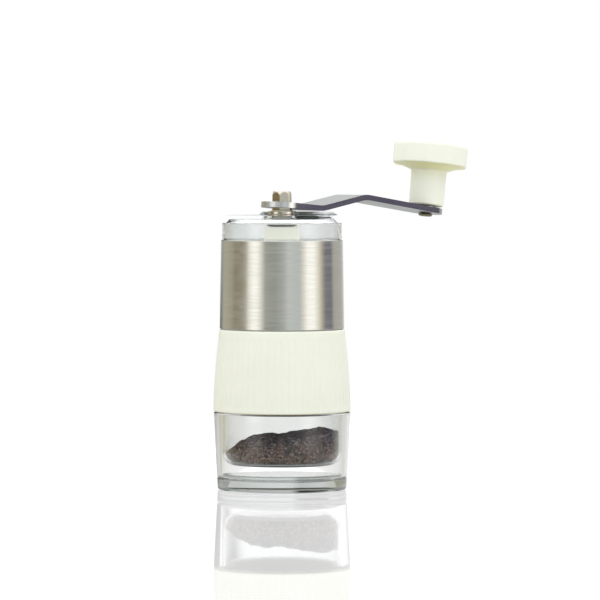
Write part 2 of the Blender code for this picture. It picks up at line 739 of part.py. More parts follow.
def lid_levels():
    """A crowned plate with a rounded rim, a neck that stands on the sleeve and a plug that fits inside it."""
    ceiling = LID_TOP - LID_PLATE
    inner = LID_NECK - LID_WALL
    levels = [(LID_BORE, LID_TOP)] + [(radius, LID_TOP - drop) for radius, drop in LID_CROWN]
    levels += corner((LID_RIM - LID_RIM_ROUND, LID_TOP - 2.0), LID_RIM_ROUND, 75, -60, 3)
    levels += [(LID_NECK, LID_TOP - 3.4), (LID_NECK, LID_SEAT), (PLUG_RADIUS, LID_SEAT)]
    levels += [(PLUG_RADIUS, PLUG_BOTTOM_Z + 0.5), (PLUG_RADIUS - 0.5, PLUG_BOTTOM_Z), (inner, PLUG_BOTTOM_Z)]
    levels += [(inner, ceiling - 1.2), (inner - 1.0, ceiling - EDGE), (LID_BORE, ceiling)]
    return levels


def raised_outline(wall=0.0):
    """The raised middle of the lid: a round boss that runs out to a rounded tab, drawn in by a wall."""
    boss = RAISED_RADIUS - wall
    tab = TAB_RADIUS - wall
    spread = math.degrees(math.acos((boss - tab) / TAB_REACH))
    outline = [on_circle(boss, angle) for angle in steps(spread, 360 - spread, 10)]
    for angle in steps(-spread, spread, 6):
        across, side = on_circle(tab, angle)
        outline.append((TAB_REACH + across, side))
    return outline


def add_lid(lid):
    piece = add_turned("lid", lid_levels(), clear_plastic(), lid)
    turn = (0, 0, math.radians(TAB_ANGLE))
    boss_mesh = prism_mesh(raised_outline(), LID_TOP - 1.6, RAISED_TOP, inset=RAISED_INSET)
    shape_with(piece, add_piece("lid_raised", boss_mesh, clear_plastic(), lid, rotation=turn), "UNION")
    pocket_low = LID_TOP - LID_PLATE - 1.0
    pocket_mesh = prism_mesh(raised_outline(RAISED_WALL), pocket_low, RAISED_TOP - RAISED_WALL, inset=RAISED_INSET)
    shape_with(piece, add_piece("lid_pocket", pocket_mesh, clear_plastic(), lid, rotation=turn), "DIFFERENCE")
    drill(piece, "lid_bore", LID_BORE, LID_TOP - 5.0, LID_TOP + 5.0, segments=LARGE)


# Crank


def arm_line(along):
    """The height of the arm's middle above its hub, in the arm's own frame."""
    (first, low), (second, high) = ARM_BENDS
    rise = (high - low) / (second - first)
    fall = -math.tan(math.radians(ARM_END_DROP))
    height = 0.0
    for bend, before, after in ((first, 0.0, rise), (second, rise, fall)):
        start = bend - ARM_BEND_LENGTH / 2
        inside = min(max(along - start, 0.0), ARM_BEND_LENGTH)
        past = max(along - start - ARM_BEND_LENGTH, 0.0)
        height += (after - before) * (inside * inside / (2 * ARM_BEND_LENGTH) + past)
    return height


def arm_width(along):
    """Half the arm's width: round ends, and a taper between them."""
    if along < 0:
        return math.sqrt(max(ARM_HUB_RADIUS**2 - along**2, 0.0))
    if along > ARM_REACH:
        return math.sqrt(max(ARM_END_RADIUS**2 - (along - ARM_REACH) ** 2, 0.0))
    return ARM_HUB_RADIUS + (ARM_END_RADIUS - ARM_HUB_RADIUS) * along / ARM_REACH


def arm_stations():
    """Where the arm's sections lie along it: close together round its ends and in its bends."""
    tip = 12.0  # degrees left at each end, so that its last section has some width
    ends = steps(180 - tip, 84, 7)
    stations = [on_circle(ARM_HUB_RADIUS, degrees)[0] for degrees in ends]
    for bend, _ in ARM_BENDS:
        stations += steps(bend - ARM_BEND_LENGTH / 2, bend + ARM_BEND_LENGTH / 2, 4)
    stations += [ARM_REACH + on_circle(ARM_END_RADIUS, 180 - degrees)[0] for degrees in reversed(ends)]
    return stations


def arm_mesh():
    sections = []
    for along in arm_stations():
        slope = (arm_line(along + 0.01) - arm_line(along - 0.01)) / 0.02
        up = Vector((-slope, 0, 1)).normalized() * ARM_THICKNESS / 2
        middle = Vector((along, 0, arm_line(along)))
        side = Vector((0, arm_width(along), 0))
        sections.append([middle - side - up, middle + side - up, middle + side + up, middle - side + up])
    return strip_mesh(sections)


def knob_place():
    """The knob axis's foot, in the middle of the plate, and its lean from upright."""
    droop = Matrix.Rotation(math.radians(ARM_DROOP), 3, "Y")
    foot = droop @ Vector((ARM_REACH, 0, arm_line(ARM_REACH)))
    return foot + Vector((0, 0, ARM_HEIGHT)), math.radians(ARM_DROOP + ARM_END_DROP)


def add_crank(crank):
    droop = (0, math.radians(ARM_DROOP), 0)
    arm = add_piece("crank_arm", arm_mesh(), polished_steel(), crank, (0, 0, ARM_HEIGHT), droop)
    reach = 2 * ARM_THICKNESS
    socket = hexagon(ARM_HOLE)
    hole = turned_mesh([(0, reach), (socket, reach), (socket, -reach), (0, -reach)], SMALL)
    shape_with(arm, add_piece("drive_hole", hole, polished_steel(), crank, (0, 0, ARM_HEIGHT), droop), "DIFFERENCE")
    foot, lean = knob_place()
    bore = AXLE_RADIUS + GAP
    eye = turned_mesh([(0, reach), (bore, reach), (bore, -reach), (0, -reach)], AXLE_SEGMENTS)
    shape_with(arm, add_piece("axle_hole", eye, polished_steel(), crank, foot, (0, lean, 0)), "DIFFERENCE")
    add_axle(crank, foot, lean)


def add_axle(crank, foot, lean):
    """The headed axle that the knob turns on, the washer under the knob and the clip that keeps it on."""

    half = ARM_THICKNESS / 2
    head = -half - GAP
    head_low = head - AXLE_HEAD_HEIGHT
    groove_top = AXLE_GROOVE_Z + AXLE_GROOVE_HEIGHT
    axle = [(0, AXLE_TOP), (AXLE_RADIUS - EDGE, AXLE_TOP), (AXLE_RADIUS, AXLE_TOP - EDGE)]
    axle += [(AXLE_RADIUS, groove_top), (AXLE_GROOVE, groove_top), (AXLE_GROOVE, AXLE_GROOVE_Z)]
    axle += [(AXLE_RADIUS, AXLE_GROOVE_Z), (AXLE_RADIUS, head), (AXLE_HEAD, head)]
    axle += [(AXLE_HEAD, head_low + 0.5), (AXLE_HEAD - 0.7, head_low), (0, head_low)]
    add_piece("knob_axle", turned_mesh(axle, AXLE_SEGMENTS), polished_steel(), crank, foot, (0, lean, 0))
    low = half + AXLE_WASHER_LIFT
    washer = washer_levels(AXLE_RADIUS + GAP, AXLE_WASHER_RADIUS, low, low + AXLE_WASHER_THICKNESS)
    add_piece("axle_washer", turned_mesh(washer, SMALL), polished_steel(), crank, foot, (0, lean, 0))
    clip_low = AXLE_GROOVE_Z + 0.25
    clip = open_ring_mesh(AXLE_CLIP_INNER, AXLE_CLIP_OUTER, clip_low, clip_low + 0.55, AXLE_CLIP_MOUTH)
    add_piece("axle_clip", clip, dark_steel(), crank, foot, (0, lean, 0))


def knob_levels():
    """A ten-sided cap with rounded edges on a round stem, bored for the axle and its top plug."""

    def cap(radius):
        return polygon(radius, KNOB_SIDES)

    edge = KNOB_EDGE
    bore = AXLE_RADIUS + GAP
    room_low = AXLE_GROOVE_Z - GAP
    seat = PLUG_BOTTOM - GAP
    levels = [(cap(KNOB_RADIUS - 1.6 * edge), KNOB_TOP), (cap(KNOB_RADIUS - 0.4 * edge), KNOB_TOP - 0.4 * edge)]
    levels += [(cap(KNOB_RADIUS), KNOB_TOP - 1.3 * edge), (cap(KNOB_RADIUS), KNOB_CAP_BOTTOM + 1.0)]
    levels += [(cap(KNOB_RADIUS - 0.7), KNOB_CAP_BOTTOM), (KNOB_STEM_HIGH + 0.6, KNOB_FLARE)]
    levels += [(KNOB_STEM_HIGH, KNOB_FLARE - 0.8), (KNOB_STEM_LOW, KNOB_STEM_BOTTOM + 0.5)]
    levels += [(KNOB_STEM_LOW - SOFT_EDGE, KNOB_STEM_BOTTOM), (bore, KNOB_STEM_BOTTOM), (bore, room_low)]
    levels += [(KNOB_CLIP_ROOM, room_low), (KNOB_CLIP_ROOM, seat), (PLUG_RECESS, seat), (PLUG_RECESS, KNOB_TOP)]
    return levels


def add_knob(knob):
    add_turned("knob", knob_levels(), cream_plastic(), knob, 4 * KNOB_SIDES)
    edge = PLUG_RECESS - GAP
    plug = [(0, KNOB_TOP), (edge - SOFT_EDGE, KNOB_TOP), (edge, KNOB_TOP - EDGE), (edge, PLUG_BOTTOM)]
    plug.append((0, PLUG_BOTTOM))
    add_turned("knob_plug", plug, cream_plastic(), knob, MEDIUM)


def build():
    clear_scene()
    jar = add_joint("jar_root")
    housing = add_joint("housing_lift", jar)
    shaft = add_joint("shaft_axis", housing)
    burr = add_joint("burr_slide", shaft)
    adjuster = add_joint("adjuster_axis", burr)
    lid = add_joint("lid_lift", housing)
    crank = add_joint("crank_lift", shaft)
    foot, lean = knob_place()
    knob = add_joint("knob_axis", crank, foot, (0, lean, 0))
    add_jar(jar)
    add_casing(housing)
    add_bearings(housing)
    add_burr_seat(housing)
    add_shaft(shaft)
    add_burr(burr)
    add_adjuster(adjuster)
    add_lid(lid)
    add_crank(crank)
    add_knob(knob)


build()
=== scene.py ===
"""The looks of a hand crank coffee grinder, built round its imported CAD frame.

Meshes are made in millimetres in the frame's own axes, and MM turns them into metres. A turned
piece reads its outline from its CAD node, rounds the corners and spins it with many more segments,
so it stays inside the node. The other pieces are built from named sizes and from the CAD's boxes.
"""

import json
import math
import random

import bmesh
import bpy
from mathutils import Matrix, Vector, noise


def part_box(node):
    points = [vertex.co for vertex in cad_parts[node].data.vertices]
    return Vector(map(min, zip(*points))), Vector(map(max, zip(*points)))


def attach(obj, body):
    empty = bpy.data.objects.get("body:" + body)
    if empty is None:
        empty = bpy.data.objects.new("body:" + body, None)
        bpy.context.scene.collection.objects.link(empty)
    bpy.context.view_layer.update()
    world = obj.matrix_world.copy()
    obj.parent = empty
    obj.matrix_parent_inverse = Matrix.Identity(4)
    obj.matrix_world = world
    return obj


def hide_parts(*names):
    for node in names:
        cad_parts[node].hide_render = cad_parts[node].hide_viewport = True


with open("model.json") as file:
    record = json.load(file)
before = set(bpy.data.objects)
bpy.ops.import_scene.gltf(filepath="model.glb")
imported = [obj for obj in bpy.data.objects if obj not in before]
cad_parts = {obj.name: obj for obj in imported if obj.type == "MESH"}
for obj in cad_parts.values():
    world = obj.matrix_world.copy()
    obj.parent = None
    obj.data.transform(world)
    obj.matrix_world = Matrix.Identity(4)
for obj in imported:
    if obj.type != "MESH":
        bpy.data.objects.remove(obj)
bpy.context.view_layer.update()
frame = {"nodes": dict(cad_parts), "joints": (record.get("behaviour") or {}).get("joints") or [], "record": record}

MM = 0.001
TURN = 2 * math.pi
UPRIGHT = Matrix.Identity(4)
FINE = 144  # segments round the large turned pieces
MEDIUM = 96
SMALL = 64

# Camera, by the photograph's viewing angle.
AZIMUTH = math.radians(-47.0)
RIGHT = Vector((math.cos(AZIMUTH), math.sin(AZIMUTH), 0.0))
FORWARD = Vector((-math.sin(AZIMUTH), math.cos(AZIMUTH), 0.0))
CAMERA_DISTANCE = 1.68
CAMERA_HEIGHT = 0.1349
AIM_HEIGHT = 0.0757
AIM_SIDE = 0.0072
LENS = 252.0
FLOOR_RADIUS = 0.46

# Grip ribs.
RIB_COUNT = 60
RIB_DEPTH = 0.22
RIB_LOW = 32.6
RIB_HIGH = 61.0
RIB_FADE = 1.2

# Heap of ground coffee: its ridge, across the view and up, between the cup's walls.
GROUNDS_RIDGE = (
    (-22.6, 15.2), (-15.8, 19.6), (-11.2, 21.9), (-5.8, 22.7), (-1.2, 22.2), (4.0, 23.3), (9.6, 24.2), (16.0, 24.8),
    (22.6, 23.4),
)
GROUNDS_GAP = 0.12
GROUNDS_CORNER = 4.3  # the heap's lower corner, round like the cup's
GRAINS = 2600
GRAIN_SIZES = (0.18, 0.5)

# Lid.
LID_DOME = 0.35
LID_RIM_ROUND = 1.1
LID_BORE = 6.2
LID_WALL = 1.5
RAISED_RADIUS = 9.4
TAB_RADIUS = 6.0
TAB_REACH = 16.6
TAB_ANGLE = math.radians(-47.0)
RAISED_EDGE = 1.0
LID_RAISED = 1.05
LID_SEAT = 100.2  # on the steel sleeve's top edge
LID_NECK = 23.95
LID_PLUG = 23.25
RAISED_START = (0.6, 3.6)  # the raised part rises between these depths behind the shaft's axis
FROST_MARGIN = 0.25  # the raised part is matt from this far above the lid's top

# Crank arm, as in the CAD: along the arm, and above its hub.
ARM_HEIGHT = 113.5
ARM_DROOP = math.radians(4.5)
ARM_THICKNESS = 2.2
ARM_HUB_RADIUS = 8.4
ARM_END_RADIUS = 6.9
ARM_REACH = 87.0
ARM_BENDS = ((15.7, 0.0), (41.5, 6.4))
ARM_BEND_LENGTH = 5.0
ARM_END_DROP = math.radians(3.0)
ARM_HOLE = 7.9
ARM_EDGE = 0.28
AXLE_RADIUS = 1.9

# Drive shaft, by height and by width across its flats.
DRIVE_FLATS = 7.0
SHOULDER_FLATS = 7.8
KEY_FLATS = 5.0
FLANGE_TOP = 111.3
FLANGE_LOW = 109.9
FLANGE_RADIUS = 5.6
COLLAR_LOW = 107.8
COLLAR_RADIUS = 4.4
JOURNAL_RADIUS = 3.0
GROOVE_LOW = 88.1
GROOVE_RADIUS = 2.4
GROOVE_WIDTH = 1.2
KEY_TOP = 63.0
KEY_LOW = 43.9

# Knob, along its own axis from the middle of the arm's plate.
KNOB_SIDES = 10
KNOB_RADIUS = 15.85
KNOB_STEM_LOW = 7.15
KNOB_STEM_HIGH = 7.3
KNOB_STEM_BOTTOM = 2.0
KNOB_FLARE = 16.7
KNOB_CAP_BOTTOM = 18.6
KNOB_TOP = 27.85
KNOB_RECESS = 9.6
PLUG_BOTTOM = 25.55
KNOB_BORE_TOP = 23.45
PLUG_SEAT = 4.6
KNOB_ROUND_OVER = 1.5
KNOB_LOWER_ROUND = 0.8


# Node graphs


def add(tree, kind, inputs=None, **settings):
    """Adds a shader node, sets its inputs from values or from other nodes' outputs, and returns its first output."""
    made = tree.nodes.new("ShaderNode" + kind)
    for name, value in settings.items():
        setattr(made, name, value)
    for key, value in (inputs or {}).items():
        if isinstance(value, bpy.types.NodeSocket):
            tree.links.new(value, made.inputs[key])
        else:
            made.inputs[key].default_value = value
    return made.outputs[0]


def ramp(tree, factor, stops, interpolation="LINEAR"):
    """A colour ramp through (position, grey or colour) stops."""
    colour = add(tree, "ValToRGB", {0: factor})
    band = colour.node.color_ramp
    band.interpolation = interpolation
    while len(band.elements) < len(stops):
        band.elements.new(1.0)
    for element, (position, value) in zip(band.elements, stops):
        element.position = position
        element.color = (value, value, value, 1.0) if isinstance(value, float) else (*value, 1.0)
    return colour


def spread(tree, value, low, high):
    """A 0 to 1 value, spread between two others."""
    return add(tree, "MapRange", {"Value": value, "To Min": low, "To Max": high})


def object_place(tree):
    """The place on the piece in millimetres."""
    place = add(tree, "TexCoord").node.outputs["Object"]
    return add(tree, "VectorMath", {0: place, "Scale": 1000.0}, operation="SCALE")


def stretched(tree, place, across, along, up):
    """The place scaled by axis: a pattern runs long where its scale is small."""
    return add(tree, "VectorMath", {0: place, 1: (across, along, up)}, operation="MULTIPLY")


def round_place(tree):
    """The place on a turned piece, as (millimetres round it at a radius of 24, radius, height)."""
    parts = add(tree, "SeparateXYZ", {0: object_place(tree)}).node
    angle = add(tree, "Math", {0: parts.outputs["Y"], 1: parts.outputs["X"]}, operation="ARCTAN2")
    around = add(tree, "Math", {0: angle, 1: 24.0}, operation="MULTIPLY")
    return add(tree, "CombineXYZ", {"X": around, "Y": 0.0, "Z": parts.outputs["Z"]})


def noise_at(tree, place, scale, detail=4.0, roughness=0.55):
    inputs = {"Vector": place, "Scale": scale, "Detail": detail, "Roughness": roughness}
    return add(tree, "TexNoise", inputs)


def bump(tree, height, depth, strength=1.0):
    """A bump whose full height is a depth in millimetres."""
    return add(tree, "Bump", {"Strength": strength, "Distance": depth * MM, "Height": height})


def finish(name, roughness=0.4, metallic=0.0):
    """A new material, its node tree and its shader."""
    made = bpy.data.materials.new(name)
    made.use_nodes = True
    shader = made.node_tree.nodes["Principled BSDF"]
    shader.inputs["Roughness"].default_value = roughness
    shader.inputs["Metallic"].default_value = metallic
    return made, made.node_tree, shader


def connect(shader, **sources):
    """Links sources to the shader's inputs, by the inputs' names with _ for a space."""
    for name, source in sources.items():
        shader.id_data.links.new(source, shader.inputs[name.replace("_", " ")])


# Materials


# Painted shade on the lid: its tint deepens to a greyer tone towards its top, between these heights.
SHADE_FROM = 106.6  # the lid's tint deepens between these heights
SHADE_FULL = 108.2


def clear_plastic(name, colour, clearest, haziest, clear=1.0, painted_shade=None, glare=0.3):
    """Clear acrylic with faint smears and hair scratches, and with an optional painted shade that tints it deeper
    towards its top, by height.
    """
    made, tree, shader = finish(name)
    shader.inputs["Base Color"].default_value = (*colour, 1.0)
    shader.inputs["Transmission Weight"].default_value = clear
    shader.inputs["IOR"].default_value = 1.49
    shader.inputs["Specular Tint"].default_value = (glare, glare, glare, 1.0)
    place = object_place(tree)
    # Painted shade: towards the top the colour mixes into the greyer shade tone, by height.
    if painted_shade:
        height = add(tree, "SeparateXYZ", {0: place}).node.outputs["Z"]
        share = add(tree, "MapRange", {"Value": height, "From Min": SHADE_FROM, "From Max": SHADE_FULL})
        connect(shader, Base_Color=add(tree, "MixRGB", {0: share, 1: (*colour, 1.0), 2: (*painted_shade, 1.0)}))
    smears = noise_at(tree, place, 0.12, 3.0)
    scratches = noise_at(tree, stretched(tree, place, 3.0, 3.0, 0.25), 1.4, 5.0)
    connect(shader, Roughness=spread(tree, smears, clearest, haziest), Normal=bump(tree, scratches, 0.0008))
    return made


# Painted shade: a yellower, darker tone put into the plastic's hollows and on its down-facing sides, standing in for
# the light it bounces onto itself.
HOLLOW_SHADE = (1.0, 0.96, 0.56)  # the plastic's tone in its hollows, where it lights itself


def moulded(name, colour, shade, roughness, grain, tint=(1.0, 0.72, 0.38), painted_glow=0.0):
    """Moulded plastic: faintly mottled, spark-eroded to a fine grain, a little translucent, with painted shade in its
    hollows and on its down-facing sides, and with a painted glow when one is given.
    """
    made, tree, shader = finish(name)
    # Painted light: the plastic glows in its own colour, by the painted glow's strength.
    shader.inputs["Emission Color"].default_value = (*colour, 1.0)
    shader.inputs["Emission Strength"].default_value = painted_glow
    place = object_place(tree)
    clouds = noise_at(tree, place, 0.09, 3.0)
    # Painted shade: hollows, found by ambient occlusion, and down-facing sides take the shade tone.
    hollows = add(tree, "AmbientOcclusion", {"Distance": 0.014}, samples=12, only_local=True).node.outputs["AO"]
    facing = add(tree, "SeparateXYZ", {0: add(tree, "TexCoord").node.outputs["Normal"]}).node.outputs["Z"]
    not_facing_down = add(tree, "MapRange", {"Value": facing, "From Min": -0.95, "From Max": -0.4})
    unshaded_share = add(tree, "Math", {0: ramp(tree, hollows, ((0.5, 0.0), (0.8, 1.0))), 1: not_facing_down}, operation="MINIMUM")
    painted_shade = ramp(tree, unshaded_share, ((0.0, HOLLOW_SHADE), (1.0, (1.0, 1.0, 1.0))))
    mottled = ramp(tree, clouds, ((0.3, shade), (0.7, colour)))
    connect(shader, Base_Color=add(tree, "MixRGB", {0: 1.0, 1: mottled, 2: painted_shade}, blend_type="MULTIPLY"))
    fine = noise_at(tree, place, 6.5, 3.0, 0.6)
    connect(shader, Roughness=spread(tree, fine, roughness - 0.09, roughness + 0.09))
    connect(shader, Normal=bump(tree, fine, grain))
    shader.inputs["Subsurface Weight"].default_value = 0.12
    shader.inputs["Subsurface Radius"].default_value = tint
    shader.inputs["Subsurface Scale"].default_value = 0.0012
    return made


def turned_steel(name, colour, shade, roughness, anisotropy=0.7):
    """Steel brushed round its axis: fine rings that run a little way and fade."""
    made, tree, shader = finish(name, roughness, 1.0)
    place = round_place(tree)
    hairs = noise_at(tree, stretched(tree, place, 0.06, 1.0, 2.4), 1.6, 6.0, 0.75)
    broad = noise_at(tree, stretched(tree, place, 0.02, 1.0, 0.8), 1.0, 2.0)
    connect(shader, Base_Color=ramp(tree, hairs, ((0.25, shade), (0.75, colour))))
    connect(shader, Roughness=spread(tree, broad, roughness - 0.07, roughness + 0.07))
    shader.inputs["Anisotropic"].default_value = anisotropy
    shader.inputs["Anisotropic Rotation"].default_value = 0.25
    around = add(tree, "Tangent", direction_type="RADIAL", axis="Z")
    connect(shader, Tangent=around, Normal=bump(tree, hairs, 0.0015))
    return made


def brushed_steel(name, colour, shade, roughness, glancing=1.0):
    """Flat steel, brushed along X, and duller at glancing angles the rougher it is brushed."""
    made, tree, shader = finish(name, roughness, 1.0)
    shader.inputs["Specular Tint"].default_value = (glancing, glancing, glancing, 1.0)
    place = object_place(tree)
    hairs = noise_at(tree, stretched(tree, place, 0.12, 9.0, 9.0), 1.3, 6.0, 0.7)
    broad = noise_at(tree, stretched(tree, place, 0.05, 0.3, 0.3), 1.0, 3.0)
    connect(shader, Base_Color=ramp(tree, hairs, ((0.25, shade), (0.75, colour))))
    connect(shader, Roughness=spread(tree, broad, roughness - 0.06, roughness + 0.08))
    connect(shader, Normal=bump(tree, hairs, 0.006))
    return made


def worn_metal(name, colour, shade, roughness, scale=1.2):
    """Small metal parts: tone and roughness vary in soft patches over fine tool marks."""
    made, tree, shader = finish(name, roughness, 1.0)
    place = object_place(tree)
    patches = noise_at(tree, place, scale, 5.0, 0.6)
    marks = noise_at(tree, stretched(tree, place, 0.6, 0.6, 14.0), 1.5, 4.0)
    connect(shader, Base_Color=ramp(tree, patches, ((0.35, shade), (0.65, colour))))
    connect(shader, Roughness=spread(tree, patches, roughness - 0.08, roughness + 0.1))
    connect(shader, Normal=bump(tree, marks, 0.008))
    return made


def fired_ceramic():
    made, tree, shader = finish("ceramic")
    place = object_place(tree)
    grain = noise_at(tree, place, 9.0, 4.0, 0.65)
    connect(shader, Base_Color=ramp(tree, grain, ((0.3, (0.78, 0.76, 0.71)), (0.7, (0.88, 0.87, 0.84)))))
    connect(shader, Roughness=spread(tree, grain, 0.3, 0.5), Normal=bump(tree, grain, 0.02))
    return made


def soft_silicone():
    made, tree, shader = finish("silicone")
    place = object_place(tree)
    dust = noise_at(tree, place, 2.5, 5.0)
    connect(shader, Base_Color=ramp(tree, dust, ((0.3, (0.66, 0.67, 0.65)), (0.7, (0.76, 0.77, 0.75)))))
    connect(shader, Roughness=spread(tree, dust, 0.5, 0.75), Normal=bump(tree, dust, 0.02))
    shader.inputs["Subsurface Weight"].default_value = 0.3
    shader.inputs["Subsurface Radius"].default_value = (1.0, 1.0, 0.9)
    shader.inputs["Subsurface Scale"].default_value = 0.002
    return made


PATCHES = ((0.35, (0.7, 0.66, 0.7)), (0.65, (1.15, 1.0, 0.92)))  # tones of the heap's patches
# Painted shade: the heap turns darker and bluer towards its top.
TOP_SHADE = (0.58, 0.66, 0.98, 1.0)  # tone of the heap's top


def ground_coffee():
    """Dark roasted grains, a few of them paler or redder chaff, with painted shade that darkens the heap towards its
    top.
    """
    made, tree, shader = finish("ground_coffee")
    place = object_place(tree)
    cells = add(tree, "TexVoronoi", {"Vector": place, "Scale": 1.5, "Randomness": 1.0})
    tone = add(tree, "SeparateXYZ", {0: cells.node.outputs["Color"]})
    stops = ((0.0, (0.06, 0.042, 0.035)), (0.4, (0.27, 0.205, 0.175)), (0.75, (0.47, 0.36, 0.305)))
    stops += ((0.92, (0.74, 0.57, 0.48)), (1.0, (0.95, 0.84, 0.77)))
    crumbs = noise_at(tree, place, 3.5, 6.0, 0.7)
    patches = noise_at(tree, place, 0.22, 3.0)
    inputs = {0: 1.0, 1: ramp(tree, tone, stops), 2: ramp(tree, patches, PATCHES)}
    toned = add(tree, "MixRGB", inputs, blend_type="MULTIPLY")
    # Painted shade: darker and bluer towards the heap's top, by height.
    height = add(tree, "SeparateXYZ", {0: place}).node.outputs["Z"]
    share = add(tree, "MapRange", {"Value": height, "From Min": 15.0, "From Max": 23.0})
    toned = add(tree, "MixRGB", {0: share, 1: toned, 2: TOP_SHADE}, blend_type="MULTIPLY")
    connect(shader, Base_Color=toned)
    connect(shader, Roughness=spread(tree, crumbs, 0.5, 0.9), Normal=bump(tree, crumbs, 0.3))
    return made


def pale_floor():
    """A white, lit, glossy surface."""
    made, tree, shader = finish("pale_floor")
    place = add(tree, "TexCoord").node.outputs["Object"]
    haze = noise_at(tree, place, 6.0, 3.0)
    connect(shader, Base_Color=ramp(tree, haze, ((0.3, (0.11, 0.11, 0.11)), (0.7, (0.13, 0.13, 0.13)))))
    connect(shader, Roughness=spread(tree, haze, 0.01, 0.03))
    shader.inputs["IOR"].default_value = 1.15
    shader.inputs["Emission Color"].default_value = (1.0, 1.0, 1.0, 1.0)
    shader.inputs["Emission Strength"].default_value = 0.52
    return made


# The greyer tone of the painted shade at the lid's top.
LID_PAINTED_SHADE = (0.76, 0.8, 0.82)
CREAM = (0.86, 0.872, 0.765)
CREAM_SHADE = (0.84, 0.85, 0.735)


def make_materials():
    return {
        "clear_plastic": clear_plastic("clear_plastic", (0.953, 0.958, 0.954), 0.0, 0.03),
        "lid_plastic": clear_plastic("lid_plastic", (0.93, 0.95, 0.955), 0.04, 0.1, 0.93, LID_PAINTED_SHADE, 0.6),
        "lid_frost": clear_plastic("lid_frost", (0.88, 0.9, 0.905), 0.25, 0.35, 0.6),
        "base_plastic": clear_plastic("base_plastic", (0.47, 0.495, 0.485), 0.0, 0.03),
        "dark_brass": worn_metal("dark_brass", (0.24, 0.22, 0.14), (0.1, 0.09, 0.05), 0.2, 3.0),
        # Painted light: cream_plastic glows faintly and the hub plastic glows strongly, though neither is a lamp.
        "cream_plastic": moulded("cream_plastic", CREAM, CREAM_SHADE, 0.36, 0.012, painted_glow=0.05),
        "glowing_hub_plastic": moulded("glowing_hub_plastic", CREAM, CREAM_SHADE, 0.36, 0.012, painted_glow=0.65),
        "grip_plastic": moulded("grip_plastic", CREAM, CREAM_SHADE, 0.42, 0.02),
        "sleeve_steel": turned_steel("sleeve_steel", (0.66, 0.65, 0.62), (0.5, 0.49, 0.46), 0.2),
        "arm_steel": brushed_steel("arm_steel", (0.355, 0.365, 0.355), (0.29, 0.3, 0.29), 0.33),
        "arm_edge": brushed_steel("arm_edge", (0.62, 0.62, 0.63), (0.52, 0.52, 0.53), 0.13),
        "drive_steel": turned_steel("drive_steel", (0.66, 0.61, 0.53), (0.5, 0.44, 0.36), 0.14, 0.2),
        "bright_steel": worn_metal("bright_steel", (0.66, 0.66, 0.66), (0.55, 0.55, 0.55), 0.24),
        "dark_steel": worn_metal("dark_steel", (0.12, 0.12, 0.13), (0.06, 0.06, 0.065), 0.36),
        "bronze": worn_metal("bronze", (0.5, 0.34, 0.17), (0.36, 0.24, 0.12), 0.38, 4.0),
        "ceramic": fired_ceramic(),
        "nylon": moulded("nylon", (0.82, 0.82, 0.79), (0.76, 0.76, 0.73), 0.4, 0.02),
        "silicone": soft_silicone(),
        "ground_coffee": ground_coffee(),
        "pale_floor": pale_floor(),
    }


# Outlines and meshes


def smooth_step(value, low, high):
    share = min(max((value - low) / (high - low), 0.0), 1.0)
    return share * share * (3 - 2 * share)


def steps(first, last, count):
    return [first + (last - first) * index / count for index in range(count + 1)]


def on_circle(radius, angle):
    return (radius * math.cos(angle), radius * math.sin(angle))


def polygon(corner_radius, sides, softness, first_corner=0.0):
    """A regular polygon's radius at an angle, its corners rounded: the higher the softness power, the sharper."""
    flat = corner_radius * math.cos(math.pi / sides)
    normals = [first_corner + (index + 0.5) * TURN / sides for index in range(sides)]

    def radius(angle):
        total = sum(max(math.cos(angle - normal), 0.0) ** softness for normal in normals)
        return flat * total ** (-1 / softness)

    return radius


def hexagon(across_flats, softness=110):
    """A hexagon with two flats facing along X."""
    return polygon(across_flats / 2 / math.cos(math.pi / 6), 6, softness, math.pi / 6)


def inside_circle(outline, circle_radius):
    def radius(angle):
        return min(outline(angle), circle_radius)

    return radius


def cad_outline(node, place=UPRIGHT):
    """The half outline of a turned CAD node as (radius, height) points that run down its outer side."""
    mesh = frame["nodes"][node].data
    inverse = place.inverted()
    points = [[round(value / MM, 3) for value in inverse @ vertex.co] for vertex in mesh.vertices]
    joined = {}
    for edge in mesh.edges:
        ends = [points[index] for index in edge.vertices]
        if any(abs(end[1]) > 0.01 or end[0] < -0.01 for end in ends):
            continue
        near, far = ((end[0], end[2]) for end in ends)
        if near != far:
            joined.setdefault(near, set()).add(far)
            joined.setdefault(far, set()).add(near)
    loose = sorted((point for point in joined if len(joined[point]) == 1), key=lambda point: -point[1])
    outline = [loose[0] if loose else max(joined)]
    while True:
        unused = [point for point in sorted(joined[outline[-1]]) if point not in outline]
        if not unused:
            break
        outline.append(unused[0])
    if loose:
        axis_ends = [(0.0, outline[0][1]), (0.0, outline[-1][1])]
        return axis_ends[:1] + [point for point in outline if point[0] > 0.01] + axis_ends[1:]
    area = sum(a[0] * b[1] - b[0] * a[1] for a, b in zip(outline, outline[1:] + outline[:1]))
    return outline if area < 0 else outline[::-1]


def softened(outline, edge, count=4):
    """The outline with its sharp corners rounded by an edge radius, and its slight bends smoothed."""
    hollow = outline[0][0] > 0
    slight = math.radians(36)
    result = []
    for index, point in enumerate(outline):
        if not hollow and index in (0, len(outline) - 1):
            result.append(point)
            continue
        here = Vector(point)
        back = Vector(outline[index - 1]) - here
        ahead = Vector(outline[(index + 1) % len(outline)]) - here
        bend = math.pi - back.angle(ahead)
        if bend < math.radians(1):
            result.append(point)
            continue
        reach = 0.48 * min(back.length, ahead.length)
        if bend > slight:
            reach = min(edge * math.tan(bend / 2), 0.4 * back.length, 0.4 * ahead.length)
        start, end = here + back.normalized() * reach, here + ahead.normalized() * reach
        for along in steps(0.0, 1.0, count):
            at = start * (1 - along) ** 2 + here * (2 * along * (1 - along)) + end * along**2
            result.append((at.x, at.y))
    return result


